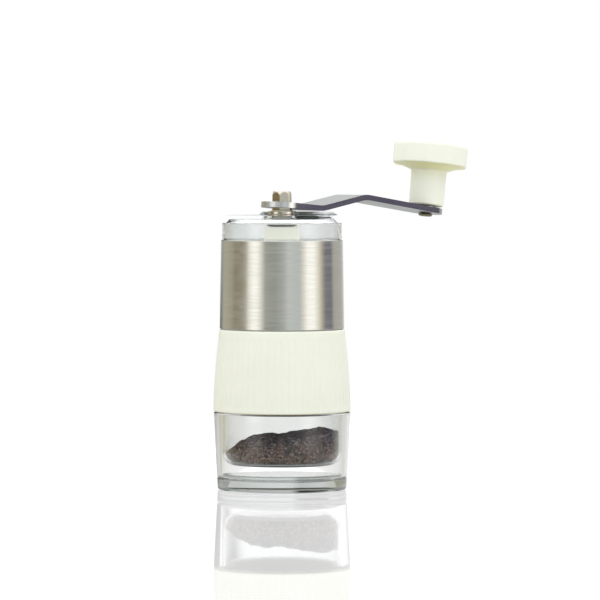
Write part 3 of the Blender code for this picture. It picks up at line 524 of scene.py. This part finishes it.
def level_ring(mesh, level, segments):
    """One level of a turned shape. Its radius and its height may each be a function of the angle."""
    outline, height = level
    if outline == 0:
        return [mesh.verts.new((0, 0, height * MM))]
    ring = []
    for index in range(segments):
        angle = TURN * index / segments
        radius = outline(angle) if callable(outline) else outline
        up = height(angle) if callable(height) else height
        ring.append(mesh.verts.new((radius * math.cos(angle) * MM, radius * math.sin(angle) * MM, up * MM)))
    return ring


def bridge(mesh, upper, lower):
    count = max(len(upper), len(lower))
    for index in range(count):
        following = (index + 1) % count
        if len(upper) == 1:
            mesh.faces.new((upper[0], lower[index], lower[following]))
        elif len(lower) == 1:
            mesh.faces.new((upper[index], lower[0], upper[following]))
        else:
            mesh.faces.new((upper[index], lower[index], lower[following], upper[following]))


def spun(levels, segments):
    """A closed shape round Z whose levels run down the outer side and back up the inner side."""
    mesh = bmesh.new()
    rings = [level_ring(mesh, level, segments) for level in levels]
    for upper, lower in zip(rings, rings[1:]):
        bridge(mesh, upper, lower)
    if len(rings[0]) > 1:
        bridge(mesh, rings[-1], rings[0])
    return mesh


def lofted(sections, closed=False):
    """A closed shape through sections, each a loop of points with the same count."""
    mesh = bmesh.new()
    loops = [[mesh.verts.new(Vector(point) * MM) for point in section] for section in sections]
    pairs = list(zip(loops, loops[1:])) + ([(loops[-1], loops[0])] if closed else [])
    for near, far in pairs:
        for index in range(len(near)):
            following = (index + 1) % len(near)
            mesh.faces.new((near[index], near[following], far[following], far[index]))
    if not closed:
        mesh.faces.new(reversed(loops[0]))
        mesh.faces.new(loops[-1])
    bmesh.ops.recalc_face_normals(mesh, faces=mesh.faces)
    return mesh


# Pieces

materials = make_materials()
node_slots = {
    "jar_base": "clear_plastic", "jar_shell": "clear_plastic", "jar_cup": "clear_plastic", "lid": "clear_plastic",
    "hopper_body": "cream_plastic", "top_bridge": "cream_plastic", "lower_bridge": "cream_plastic",
    "knob": "cream_plastic", "knob_plug": "cream_plastic", "grip_sleeve": "grip_plastic",
    "steel_sleeve": "sleeve_steel", "jar_seal": "silicone", "upper_bush": "dark_steel",
    "thrust_washer": "dark_steel", "shaft_clip": "dark_steel", "axle_clip": "dark_steel", "lower_bush": "bronze",
    "outer_burr": "ceramic", "inner_burr": "ceramic", "burr_retainer": "bright_steel",
    "retainer_screw_1": "bright_steel", "retainer_screw_2": "bright_steel", "retainer_screw_3": "bright_steel",
    "drive_shaft": "drive_steel", "spring_washer": "bright_steel", "burr_spring": "bright_steel",
    "burr_hub": "nylon", "click_washer": "bright_steel", "adjusting_nut": "nylon", "crank_arm": "arm_steel",
    "knob_axle": "drive_steel", "axle_washer": "bright_steel",
}
node_bodies = {node: body for body, nodes in frame["record"]["behaviour"]["bodies"].items() for node in nodes}


def new_object(name, mesh, material, place=UPRIGHT, sharp=36.0):
    """An object at the frame's origin, whose mesh holds its place."""
    data = bpy.data.meshes.new(name)
    mesh.transform(place)
    mesh.to_mesh(data)
    mesh.free()
    data.materials.append(material)
    data.shade_smooth()
    data.set_sharp_from_angle(angle=math.radians(sharp))
    made = bpy.data.objects.new(name, data)
    bpy.context.scene.collection.objects.link(made)
    return made


def stand_for(piece, node):
    """The piece takes the CAD node's place and body: it joins the node's body, and the node is hidden."""
    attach(piece, node_bodies[node])
    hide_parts(node)
    return piece


def even_normals(piece):
    change = piece.modifiers.new("even_normals", "WEIGHTED_NORMAL")
    change.keep_sharp = True
    return piece


def add_piece(node, mesh, place=UPRIGHT, sharp=36.0, material=None):
    piece = new_object(node + "_fine", mesh, materials[material or node_slots[node]], place, sharp)
    stand_for(piece, node)
    return even_normals(piece)


def respin(node, edge=0.2, segments=MEDIUM, place=UPRIGHT, material=None):
    """A turned CAD node again, finer and with rounded corners."""
    mesh = spun(softened(cad_outline(node, place), edge), segments)
    return add_piece(node, mesh, place, material=material)


def refine(node, edge, sharp=30.0):
    """A copy of a CAD node with its flat faces joined up again and its sharp edges bevelled."""
    mesh = bmesh.new()
    mesh.from_mesh(frame["nodes"][node].data)
    bmesh.ops.remove_doubles(mesh, verts=mesh.verts, dist=2e-6)
    bmesh.ops.dissolve_limit(mesh, angle_limit=math.radians(0.5), verts=mesh.verts, edges=mesh.edges)
    piece = add_piece(node, mesh, sharp=sharp)
    bevel(piece, edge)
    return piece


def bevel(piece, width, count=2, angle=30.0):
    change = piece.modifiers.new("edges", "BEVEL")
    change.width = width * MM
    change.segments = count
    change.limit_method = "ANGLE"
    change.angle_limit = math.radians(angle)
    change.harden_normals = False
    piece.modifiers.move(len(piece.modifiers) - 1, 0)


def combine(piece, tool, operation):
    """Cuts the tool from the piece, or joins it on, and removes the tool."""
    change = piece.modifiers.new(tool.name, "BOOLEAN")
    change.operation = operation
    change.object = tool
    bpy.context.view_layer.update()
    graph = bpy.context.evaluated_depsgraph_get()
    result = bpy.data.meshes.new_from_object(piece.evaluated_get(graph))
    piece.modifiers.remove(change)
    piece.data = result
    bpy.data.objects.remove(tool)


def box_of(node):
    low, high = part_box(node)
    return low / MM, high / MM


# Jar


def add_jar():
    respin("jar_base", 0.35, FINE, material="base_plastic")
    respin("jar_shell", 0.3, FINE)
    respin("jar_cup", 0.2, FINE)


def ridge_height(across):
    """The heap's height along its ridge, half smoothed between the ridge's points."""
    points = GROUNDS_RIDGE
    across = min(max(across, points[0][0]), points[-1][0])
    for (near, low), (far, high) in zip(points, points[1:]):
        if across <= far:
            straight = (across - near) / (far - near)
            return low + (high - low) * (smooth_step(across, near, far) + straight) / 2
    return points[-1][1]


def heap_height(x, y, radius):
    """The heap falls away from its ridge, a little more towards the camera, and is lumpy."""
    across = x * RIGHT.x + y * RIGHT.y
    depth = (x * FORWARD.x + y * FORWARD.y) / radius
    lumps = 0.7 * noise.noise(Vector((x, y, 7.0)) * 0.16) + 0.35 * noise.noise(Vector((x, y, 3.0)) * 0.6)
    return ridge_height(across) - 1.6 * depth * depth - 0.5 * max(-depth, 0.0) + lumps


def add_grounds():
    """A heap that fills the cup from wall to wall, crumbly all over, with loose grains on it."""
    cup = cad_outline("jar_cup")
    floor = cup[0][1] + GROUNDS_GAP
    wall = min(point[0] for point in cup if point[1] > floor + 10) - GROUNDS_GAP
    levels = []
    for radius in steps(0.0, wall, 46):
        levels.append((radius, lambda angle, r=radius: heap_height(*on_circle(r, angle), wall)))
    for share in steps(0.04, 1.0, 26):
        levels.append((wall, lambda angle, s=share: side_height(angle, s, wall, floor + GROUNDS_CORNER)))
    for turn in steps(0.15, math.pi / 2, 8):
        across, down = on_circle(GROUNDS_CORNER, turn)
        levels.append((wall - GROUNDS_CORNER + across, floor + GROUNDS_CORNER - down))
    levels.append((0.0, floor))
    levels[0] = (0.0, heap_height(0.0, 0.0, wall))
    mesh = spun(levels, 200)
    crumble(mesh, wall)
    scatter(mesh, wall, floor + GROUNDS_CORNER)
    heap = new_object("ground_coffee", mesh, materials["ground_coffee"], sharp=60.0)
    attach(heap, "jar")


def side_height(angle, share, wall, low):
    """The height of a point on the heap's side, by its share of the way down."""
    top = heap_height(*on_circle(wall, angle), wall)
    return top + (low - top) * share


def crumble(mesh, wall):
    """Pushes the surface in by uneven amounts, never out through the cup."""
    for vertex in mesh.verts:
        at = vertex.co / MM
        rough = 0.5 + 0.5 * noise.noise(at * 1.9)
        fine = 0.5 + 0.5 * noise.noise(at * 5.1)
        outward = Vector((at.x, at.y, 0))
        if outward.length > wall - 6.0:
            vertex.co -= outward.normalized() * (0.35 * rough + 0.2 * fine) * MM * smooth_step(outward.length, 17, 22)
        vertex.co.z += (1.0 * (rough - 0.5) + 0.7 * (fine - 0.5)) * MM * smooth_step(at.z, 12.2, 16)


def scatter(mesh, wall, low):
    """Loose grains: small uneven lumps on the heap's top and against the cup's wall."""
    draw = random.Random(11)
    grain = bmesh.new()
    bmesh.ops.create_icosphere(grain, subdivisions=1, radius=MM)
    corners = [vertex.co.copy() for vertex in grain.verts]
    faces = [[vertex.index for vertex in face.verts] for face in grain.faces]
    grain.free()
    for _ in range(GRAINS):
        size = draw.uniform(*GRAIN_SIZES)
        angle = draw.uniform(0.0, TURN)
        reach = wall - size * 1.3
        on_top = draw.random() < 0.5
        radius = reach * math.sqrt(draw.random()) if on_top else reach
        x, y = on_circle(radius, angle)
        top = heap_height(x, y, wall)
        up = top + size * 0.3 if on_top else draw.uniform(low, top)
        turn = Matrix.Rotation(draw.uniform(0, TURN), 4, Vector((draw.random(), draw.random(), 1.0)))
        stretch = Matrix.Diagonal((draw.uniform(0.7, 1.2), draw.uniform(0.6, 1.0), draw.uniform(0.5, 0.9), 1.0))
        place = Matrix.Translation(Vector((x, y, up)) * MM) @ turn @ stretch @ Matrix.Scale(size, 4)
        made = [mesh.verts.new(place @ corner) for corner in corners]
        for face in faces:
            mesh.faces.new([made[index] for index in face])


# Housing


def grip_levels():
    outline = softened(cad_outline("grip_sleeve"), 0.3)
    fine = []
    for near, far in zip(outline, outline[1:] + outline[:1]):
        pieces = max(1, int(abs(far[1] - near[1]) / 0.8))
        for share in steps(0, 1, pieces)[:-1]:
            fine.append((near[0] + (far[0] - near[0]) * share, near[1] + (far[1] - near[1]) * share))
    levels = []
    for index, (radius, height) in enumerate(fine):
        runs_down = fine[(index + 1) % len(fine)][1] < fine[index - 1][1]
        depth = RIB_DEPTH * smooth_step(height, RIB_LOW, RIB_LOW + RIB_FADE)
        depth *= 1.0 - smooth_step(height, RIB_HIGH - RIB_FADE, RIB_HIGH)
        levels.append((ribbed(radius, depth) if runs_down and depth > 0 else radius, height))
    return levels


def ribbed(radius, depth):
    """Rounded ribs with narrow valleys between them, cut into the grip."""

    def at(angle):
        wave = 0.5 + 0.5 * math.cos(RIB_COUNT * angle)
        return radius - depth * wave**2.2

    return at


def add_housing():
    add_piece("grip_sleeve", spun(grip_levels(), RIB_COUNT * 12), sharp=60.0)
    body = respin("hopper_body", 0.3, FINE)
    for number in (1, 2, 3):
        low, high = box_of(f"retainer_screw_{number}")
        middle = (low + high) / 2
        bore = spun([(0, 52.0), (1.2, 52.0), (1.2, low.z - 1), (0, low.z - 1)], 24)
        place = Matrix.Translation(Vector((middle.x, middle.y, 0)) * MM)
        combine(body, new_object(f"bore_{number}", bore, materials["cream_plastic"], place), "DIFFERENCE")
    respin("steel_sleeve", 0.25, FINE)
    respin("jar_seal", 0.3)
    respin("upper_bush", 0.2)
    respin("lower_bush", 0.2, SMALL)


def add_bridge(node, hub_bore, material=None):
    """A ring, three arms with rounded backs, and the hub that holds a bush."""
    low, high = box_of(node)
    outline = cad_outline(node)
    ring_radius = max(point[0] for point in outline)
    flats = sorted({point[1] for point in outline if point[0] > ring_radius - 2.0})
    base, top = flats[0], flats[-1]
    rim = ring_radius - 1.5
    ring = softened([(ring_radius, top), (ring_radius, base), (rim, base), (rim, top)], 0.4)
    piece = add_piece(node, spun(ring, FINE), sharp=40.0, material=material)
    for number in range(3):
        angle = math.radians(30 + 120 * number)
        mesh = arm_of_bridge(hub_bore, ring_radius, base, top)
        turn = Matrix.Rotation(angle, 4, "Z")
        combine(piece, new_object(f"{node}_arm_{number}", mesh, piece.data.materials[0], turn), "UNION")
    hub = 7.0
    tube = softened([(hub, high.z), (hub, low.z), (hub_bore, low.z), (hub_bore, high.z)], 0.5)
    combine(piece, new_object(f"{node}_hub", spun(tube, SMALL), piece.data.materials[0]), "UNION")
    piece.data.shade_smooth()
    piece.data.set_sharp_from_angle(angle=math.radians(40))


def arm_of_bridge(hub_bore, ring_radius, base, top):
    half = 2.2
    inner, outer = (hub_bore + 7.0) / 2, ring_radius - 0.75
    sections = []
    for along in steps(inner, outer, 10):
        waist = half - 0.5 * math.sin(math.pi * (along - inner) / (outer - inner))
        loop = [(along, -waist, base + 0.2), (along, waist, base + 0.2)]
        for turn in steps(0, math.pi, 8):
            loop.append((along, waist * math.cos(turn), top - 1.0 + 0.8 * math.sin(turn)))
        sections.append(loop)
    return lofted(sections)


def add_burr_seat():
    refine("outer_burr", 0.1)
    retainer = respin("burr_retainer", 0.15, FINE)
    for number in (1, 2, 3):
        node = f"retainer_screw_{number}"
        low, high = box_of(node)
        middle = (low + high) / 2
        place = Matrix.Translation(Vector((middle.x, middle.y, 0)) * MM)
        hole = spun([(0, high.z), (1.2, high.z), (1.2, low.z - 1), (0, low.z - 1)], 24)
        combine(retainer, new_object(f"hole_{number}", hole, materials["bright_steel"], place), "DIFFERENCE")
        screw = respin(node, 0.12, 32, place)
        for turn in (0, math.pi / 2):
            bar = bmesh.new()
            bmesh.ops.create_cube(bar, size=1.0, matrix=Matrix.Diagonal((1.9 * MM, 0.4 * MM, 1.2 * MM, 1.0)))
            at = place @ Matrix.Translation((0, 0, low.z * MM)) @ Matrix.Rotation(turn, 4, "Z")
            combine(screw, new_object(f"cross_{number}", bar, materials["bright_steel"], at), "DIFFERENCE")


# Shaft


def thread_levels(radius, depth, pitch, high, low):
    """A screw thread between two heights, as many thin levels whose radius winds round."""
    levels = []
    for height in steps(high, low, int((high - low) / 0.125)):
        ends = smooth_step(height, low, low + 0.8) * (1 - smooth_step(height, high - 0.8, high))

        def at(angle, height=height, ends=ends):
            phase = (height / pitch - angle / TURN) % 1.0
            return radius - depth * ends * abs(2 * phase - 1)

        levels.append((at, height))
    return levels


def shaft_levels():
    """The domed hexagon, shoulder, flange and journals, down to the thread for the adjusting nut."""
    low, high = box_of("drive_shaft")
    top, bottom = high.z, low.z
    drive, shoulder, key = hexagon(DRIVE_FLATS), hexagon(SHOULDER_FLATS), hexagon(KEY_FLATS)
    levels = [(0, top), (2.9, top - 0.02), (3.25, top - 0.06), (3.4, top - 0.14)]
    levels += [(inside_circle(drive, reach), top - 0.2 - 2.2 * (reach - 3.45)) for reach in steps(3.45, 4.05, 6)]
    levels += [(drive, top - 1.9), (drive, FLANGE_TOP + 0.6)]
    levels += [(hexagon(7.3), FLANGE_TOP + 0.55), (hexagon(7.7), FLANGE_TOP + 0.45), (shoulder, FLANGE_TOP + 0.25)]
    levels += [(shoulder, FLANGE_TOP + 0.05), (4.6, FLANGE_TOP + 0.01)]
    rim = [(4.7, FLANGE_TOP), (FLANGE_RADIUS, FLANGE_TOP), (FLANGE_RADIUS, FLANGE_LOW), (COLLAR_RADIUS, FLANGE_LOW)]
    rim += [(COLLAR_RADIUS, COLLAR_LOW), (JOURNAL_RADIUS, COLLAR_LOW), (JOURNAL_RADIUS, GROOVE_LOW + GROOVE_WIDTH)]
    rim += [(GROOVE_RADIUS, GROOVE_LOW + GROOVE_WIDTH), (GROOVE_RADIUS, GROOVE_LOW), (JOURNAL_RADIUS, GROOVE_LOW)]
    rim += [(JOURNAL_RADIUS, KEY_TOP), (2.7, KEY_TOP - 0.02)]
    levels += softened([(0.0, FLANGE_TOP)] + rim + [(0.0, KEY_TOP)], 0.22)[2:-1]
    levels += [(key, KEY_TOP - 0.2), (key, KEY_LOW + 0.1), (2.3, KEY_LOW)]
    levels += thread_levels(2.5, 0.45, 1.0, KEY_LOW - 0.1, bottom + 0.5)
    levels += [(2.1, bottom + 0.1), (1.9, bottom), (0, bottom)]
    return levels


def spring_mesh():
    """Round wire wound into five turns, flat at both ends."""
    low, high = box_of("burr_spring")
    wire = 0.4
    turns, around, sides = 5.0, 40, 12
    coil = high.x - wire
    rise = high.z - low.z - 2 * wire
    sections = []
    for along in steps(0.0, 1.0, int(turns * around)):
        angle = TURN * turns * along
        up = along - math.sin(TURN * along) / TURN * 0.75
        outward = Vector((math.cos(angle), math.sin(angle), 0))
        centre = outward * coil + Vector((0, 0, low.z + wire + rise * up))
        loop = []
        for side in range(sides):
            turn = TURN * side / sides
            loop.append(centre + outward * wire * math.cos(turn) + Vector((0, 0, wire * math.sin(turn))))
        sections.append(loop)
    return lofted(sections)


def add_shaft():
    add_piece("drive_shaft", spun(shaft_levels(), 108), sharp=28.0)
    respin("thrust_washer", 0.12, SMALL)
    refine("shaft_clip", 0.08)
    respin("spring_washer", 0.1, SMALL)
    add_piece("burr_spring", spring_mesh())


def add_burr():
    refine("inner_burr", 0.1)
    refine("burr_hub", 0.15)
    respin("click_washer", 0.1, SMALL)
    refine("adjusting_nut", 0.2, 40.0)


# Lid


def raised_distance(x, y):
    """How far a point lies outside the round boss that runs out to a rounded tab."""
    along = x * math.cos(TAB_ANGLE) + y * math.sin(TAB_ANGLE)
    aside = abs(y * math.cos(TAB_ANGLE) - x * math.sin(TAB_ANGLE))
    slope = (RAISED_RADIUS - TAB_RADIUS) / TAB_REACH
    flat = math.sqrt(1 - slope * slope)
    beside = along * flat - aside * slope
    if beside < 0:
        return math.hypot(along, aside) - RAISED_RADIUS
    if beside > flat * TAB_REACH:
        return math.hypot(along - TAB_REACH, aside) - TAB_RADIUS
    return aside * flat + along * slope - RAISED_RADIUS


def lid_levels():
    """The lid's top, with its raised part behind the shaft, its rounded rim, its plug and its underside."""
    low, high = box_of("lid")
    raised = high.z
    top = raised - LID_RAISED
    rim = max(point[0] for point in cad_outline("lid"))

    def surface(radius, wall=0.0):
        def height(angle):
            dome = top - LID_DOME * (radius / 23.0) ** 2
            x, y = on_circle(radius, angle)
            lift = 1.0 - smooth_step(raised_distance(x, y) + 0.6 * wall, -RAISED_EDGE, 0.15)
            lift *= smooth_step(x * FORWARD.x + y * FORWARD.y, *RAISED_START)
            return dome + (raised - dome) * lift - wall

        return height

    levels = [(LID_BORE, lambda angle: surface(LID_BORE + 0.3)(angle) - 0.3)]
    levels += [(radius, surface(radius)) for radius in steps(LID_BORE + 0.25, 22.9, 42)]
    centre = (rim - LID_RIM_ROUND, top - 1.5)
    for turn in steps(math.radians(78), math.radians(-60), 10):
        across, up = on_circle(LID_RIM_ROUND, turn)
        levels.append((centre[0] + across, centre[1] + up))
    inner = LID_NECK - 1.65
    side = [(LID_NECK, top - 3.4), (LID_NECK, LID_SEAT), (LID_PLUG, LID_SEAT), (LID_PLUG, low.z + 0.5)]
    side += [(LID_PLUG - 0.5, low.z), (inner, low.z)]
    side += [(inner, top - 3.2), (inner - 1.3, top - LID_DOME - LID_WALL)]
    levels += softened([(0.0, top - 3.0)] + side + [(0.0, top - 2.2)], 0.3)[1:-1]
    levels += [(radius, surface(radius, LID_WALL)) for radius in steps(inner - 1.9, LID_BORE, 40)]
    return levels


def add_lid():
    """The clear lid. Its raised part has a matt surface."""
    lid = add_piece("lid", spun(lid_levels(), 216), sharp=50.0, material="lid_plastic")
    lid.data.materials.append(materials["lid_frost"])
    raised = box_of("lid")[1].z
    for face in lid.data.polygons:
        if face.center.z / MM > raised - LID_RAISED + FROST_MARGIN:
            face.material_index = 1


# Crank


def arm_line(along):
    """The height of the arm's middle above its hub, in the arm's own frame."""
    (first, low), (second, high) = ARM_BENDS
    rise = (high - low) / (second - first)
    fall = -math.tan(ARM_END_DROP)
    height = 0.0
    for bend, before, after in ((first, 0.0, rise), (second, rise, fall)):
        start = bend - ARM_BEND_LENGTH / 2
        inside = min(max(along - start, 0.0), ARM_BEND_LENGTH)
        past = max(along - start - ARM_BEND_LENGTH, 0.0)
        height += (after - before) * (inside * inside / (2 * ARM_BEND_LENGTH) + past)
    return height


def arm_width(along):
    if along < 0:
        return math.sqrt(max(ARM_HUB_RADIUS**2 - along**2, 0.0))
    if along > ARM_REACH:
        return math.sqrt(max(ARM_END_RADIUS**2 - (along - ARM_REACH) ** 2, 0.0))
    return ARM_HUB_RADIUS + (ARM_END_RADIUS - ARM_HUB_RADIUS) * along / ARM_REACH


def arm_stations():
    tip = math.radians(4)
    ends = steps(math.pi - tip, math.radians(84), 26)
    stations = [on_circle(ARM_HUB_RADIUS, turn)[0] for turn in ends]
    for bend, _ in ARM_BENDS:
        stations += steps(bend - ARM_BEND_LENGTH / 2, bend + ARM_BEND_LENGTH / 2, 12)
    stations += [ARM_REACH + on_circle(ARM_END_RADIUS, math.pi - turn)[0] for turn in reversed(ends)]
    return stations


def arm_mesh():
    sections = []
    for along in arm_stations():
        slope = (arm_line(along + 0.01) - arm_line(along - 0.01)) / 0.02
        up = Vector((-slope, 0, 1)).normalized() * ARM_THICKNESS / 2
        middle = Vector((along, 0, arm_line(along)))
        side = Vector((0, arm_width(along), 0))
        sections.append([middle - side - up, middle + side - up, middle + side + up, middle - side + up])
    return lofted(sections)


def knob_place():
    """The knob's axis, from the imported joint."""
    joint = next(joint for joint in frame["joints"] if joint["name"] == "knob_spin")
    lean = math.atan2(joint["axis"][0], joint["axis"][2])
    droop = Matrix.Rotation(ARM_DROOP, 3, "Y")
    foot = droop @ Vector((ARM_REACH, 0, arm_line(ARM_REACH))) + Vector((0, 0, ARM_HEIGHT))
    return Matrix.Translation(foot * MM) @ Matrix.Rotation(lean, 4, "Y")


def add_crank():
    place = Matrix.Translation((0, 0, ARM_HEIGHT * MM)) @ Matrix.Rotation(ARM_DROOP, 4, "Y")
    arm = new_object("crank_arm_fine", arm_mesh(), materials["arm_steel"], place)
    hole = spun([(0, 4), (hexagon(ARM_HOLE, 60), 4), (hexagon(ARM_HOLE, 60), -4), (0, -4)], SMALL)
    combine(arm, new_object("drive_hole", hole, materials["arm_steel"], place), "DIFFERENCE")
    eye = spun([(0, 4), (AXLE_RADIUS + 0.3, 4), (AXLE_RADIUS + 0.3, -4), (0, -4)], 48)
    combine(arm, new_object("axle_hole", eye, materials["arm_steel"], knob_place()), "DIFFERENCE")
    paint_edges(arm)
    stand_for(arm, "crank_arm")
    even_normals(arm)
    bevel(arm, ARM_EDGE, 3, 50.0)

    knob = knob_place()
    respin("knob_axle", 0.3, 48, knob, "dark_brass")
    respin("axle_washer", 0.1, 48, knob)
    refine("axle_clip", 0.06)


def paint_edges(arm):
    """The sheared sides of the strip are darker than its brushed faces."""
    arm.data.materials.append(materials["arm_edge"])
    for face in arm.data.polygons:
        if abs(face.normal.z) < 0.4:
            face.material_index = 1
    arm.data.shade_smooth()
    arm.data.set_sharp_from_angle(angle=math.radians(36))


# Knob


def knob_levels():
    """A ten-sided cap with rounded edges over a faceted flare and a round stem."""

    def cap(radius, softness=38):
        return polygon(radius, KNOB_SIDES, softness)

    levels = [(cap(KNOB_RADIUS - 2.4 * KNOB_ROUND_OVER), KNOB_TOP)]
    for turn in steps(math.radians(88), 0, 6):
        across, up = on_circle(KNOB_ROUND_OVER, turn)
        levels.append((cap(KNOB_RADIUS - KNOB_ROUND_OVER + across), KNOB_TOP - 0.15 - KNOB_ROUND_OVER + up))
    for turn in steps(0, math.radians(-70), 4):
        across, up = on_circle(KNOB_LOWER_ROUND, turn)
        levels.append((cap(KNOB_RADIUS - KNOB_LOWER_ROUND + across), KNOB_CAP_BOTTOM + KNOB_LOWER_ROUND + up))
    stem = KNOB_STEM_HIGH
    for share in steps(0.12, 1.0, 7):
        reach = KNOB_RADIUS - 0.9 + (stem + 0.5 - KNOB_RADIUS + 0.9) * share
        sag = 0.3 * math.sin(math.pi * share)
        height = KNOB_CAP_BOTTOM + (KNOB_FLARE - KNOB_CAP_BOTTOM) * share + sag
        levels.append((blend_outline(cap(reach, 60), reach, share), height))
    levels += [(stem + 0.15, KNOB_FLARE - 0.35), (stem, KNOB_FLARE - 0.9), (KNOB_STEM_LOW, KNOB_STEM_BOTTOM + 0.7)]
    levels += [(KNOB_STEM_LOW - 0.12, KNOB_STEM_BOTTOM + 0.3), (KNOB_STEM_LOW - 0.45, KNOB_STEM_BOTTOM)]
    bore = AXLE_RADIUS + 0.3
    levels += [(bore, KNOB_STEM_BOTTOM), (bore, KNOB_BORE_TOP)]
    levels += [(PLUG_SEAT, KNOB_BORE_TOP), (PLUG_SEAT, PLUG_BOTTOM - 0.3)]
    levels += [(KNOB_RECESS, PLUG_BOTTOM - 0.3), (KNOB_RECESS, KNOB_TOP - 0.2), (KNOB_RECESS + 0.2, KNOB_TOP)]
    return levels


def blend_outline(outline, radius, share):
    """An outline on its way to a circle of the same size."""
    def at(angle):
        return outline(angle) * (1 - share) + min(radius, outline(angle) * 1.04) * share

    return at


def add_knob():
    place = knob_place()
    add_piece("knob", spun(knob_levels(), KNOB_SIDES * 16), place, sharp=40.0)
    respin("knob_plug", 0.3, SMALL, place)


# Stage


def add_floor():
    """A round white table top with a lit, glossy surface."""
    mesh = bmesh.new()
    bmesh.ops.create_circle(mesh, cap_ends=True, radius=FLOOR_RADIUS, segments=FINE)
    floor = new_object("floor", mesh, materials["pale_floor"])
    floor.location.z = -0.0001


def add_camera():
    data = bpy.data.cameras.new("camera")
    data.lens = LENS
    data.sensor_width = 36.0
    data.clip_end = 30.0
    camera = bpy.data.objects.new("camera", data)
    bpy.context.scene.collection.objects.link(camera)
    camera.location = -FORWARD * CAMERA_DISTANCE + RIGHT * AIM_SIDE + Vector((0, 0, CAMERA_HEIGHT))
    aim = RIGHT * AIM_SIDE + Vector((0, 0, AIM_HEIGHT))
    camera.rotation_euler = (aim - camera.location).to_track_quat("-Z", "Y").to_euler()
    bpy.context.scene.camera = camera


# The studio round the object, by the angle from the camera's own direction: positive is the camera's right.
SOFTBOX = (1.9, 1.9, 1.8)
SOFTBOX_EDGE = (1.3, 1.26, 1.1)
RING = (
    (-180, 1.0), (-166, 0.9), (-150, 0.7), (-143, (0.56, 0.55, 0.42)), (-124, (0.54, 0.52, 0.38)),
    (-109, (0.46, 0.42, 0.28)), (-98, (0.28, 0.23, 0.11)), (-80, (0.3, 0.25, 0.13)), (-71, (0.52, 0.48, 0.35)),
    (-65, SOFTBOX_EDGE), (-56, SOFTBOX), (-48, SOFTBOX), (-40, SOFTBOX_EDGE), (-31, (0.3, 0.32, 0.26)),
    (-12, (0.22, 0.25, 0.2)), (2, (0.42, 0.45, 0.42)), (12, (0.76, 0.83, 0.82)), (34, (0.66, 0.73, 0.73)),
    (42, SOFTBOX_EDGE), (49, SOFTBOX), (62, SOFTBOX), (71, SOFTBOX_EDGE), (80, (0.66, 0.58, 0.42)),
    (88, (0.14, 0.125, 0.175)), (105, (0.14, 0.125, 0.175)), (114, (0.56, 0.56, 0.5)), (150, (0.62, 0.62, 0.58)),
    (165, 0.85), (180, 1.0),
)
# A black flag behind the object, to one side, that the clear plastic's edges pick up.
FLAG = ((-174, 0.0), (-169, 1.0), (-148, 1.0), (-143, 0.0))
FLAG_COLOUR = (0.04, 0.04, 0.04, 1.0)
# White screens above and below the ring, by height.
SCREEN = ((0.095, 0.0), (0.12, 1.0))
SCREEN_COLOUR = (1.02, 1.04, 1.04, 1.0)
OVERHEAD = 1.7


def add_world():
    """Plain soft studio light: white backdrop and ceiling, two tall softboxes and darker flags beside them."""
    world = bpy.data.worlds.new("studio")
    bpy.context.scene.world = world
    world.use_nodes = True
    tree = world.node_tree
    tree.nodes.clear()
    way = add(tree, "TexCoord").node.outputs["Generated"]
    aside = add(tree, "VectorMath", {0: way, 1: RIGHT}, operation="DOT_PRODUCT").node.outputs["Value"]
    toward = add(tree, "VectorMath", {0: way, 1: -FORWARD}, operation="DOT_PRODUCT").node.outputs["Value"]
    angle = add(tree, "Math", {0: aside, 1: toward}, operation="ARCTAN2")
    share = add(tree, "Math", {0: angle, 1: 1 / TURN, 2: 0.5}, operation="MULTIPLY_ADD")
    ring = ramp(tree, share, [(0.5 + degrees / 360, value) for degrees, value in RING])
    up = add(tree, "SeparateXYZ", {0: way}).node.outputs["Z"]
    level = add(tree, "Math", {0: up}, operation="ABSOLUTE")
    low = add(tree, "MapRange", {"Value": level, "From Min": 0.018, "From Max": 0.034})
    flag = ramp(tree, share, [(0.5 + degrees / 360, value) for degrees, value in FLAG])
    shaded = add(tree, "Math", {0: low, 1: flag}, operation="MULTIPLY")
    height = add(tree, "MapRange", {"Value": up, "From Min": 0.35, "From Max": 0.7})
    ceiling = (OVERHEAD, OVERHEAD, OVERHEAD, 1.0)
    screened = add(tree, "MixRGB", {0: ramp(tree, level, SCREEN), 1: ring, 2: SCREEN_COLOUR})
    flagged = add(tree, "MixRGB", {0: shaded, 1: screened, 2: FLAG_COLOUR})
    studio = add(tree, "MixRGB", {0: height, 1: flagged, 2: ceiling})
    paths = add(tree, "LightPath").node
    lit = add(tree, "Background", {"Color": studio, "Strength": 1.0})
    plain = add(tree, "Background", {"Color": (1.0, 1.0, 1.0, 1.0), "Strength": 1.0})
    unshaded_share = add(tree, "MixShader", {0: paths.outputs["Is Camera Ray"], 1: lit, 2: plain})
    output = tree.nodes.new("ShaderNodeOutputWorld")
    tree.links.new(unshaded_share, output.inputs["Surface"])


def set_look():
    scene = bpy.context.scene
    scene.view_settings.view_transform = "Standard"
    scene.cycles.max_bounces = 28
    scene.cycles.transmission_bounces = 28
    scene.cycles.glossy_bounces = 8
    scene.cycles.diffuse_bounces = 8
    scene.cycles.caustics_refractive = True
    scene.cycles.caustics_reflective = False


def build():
    add_camera()
    add_floor()
    add_world()
    set_look()
    add_jar()
    add_grounds()
    add_housing()
    # The top bridge's hub glows: painted light that brightens it under the lid.
    add_bridge("top_bridge", 5.3, "glowing_hub_plastic")
    add_bridge("lower_bridge", 4.9)
    add_burr_seat()
    add_shaft()
    add_burr()
    add_lid()
    add_crank()
    add_knob()


build()
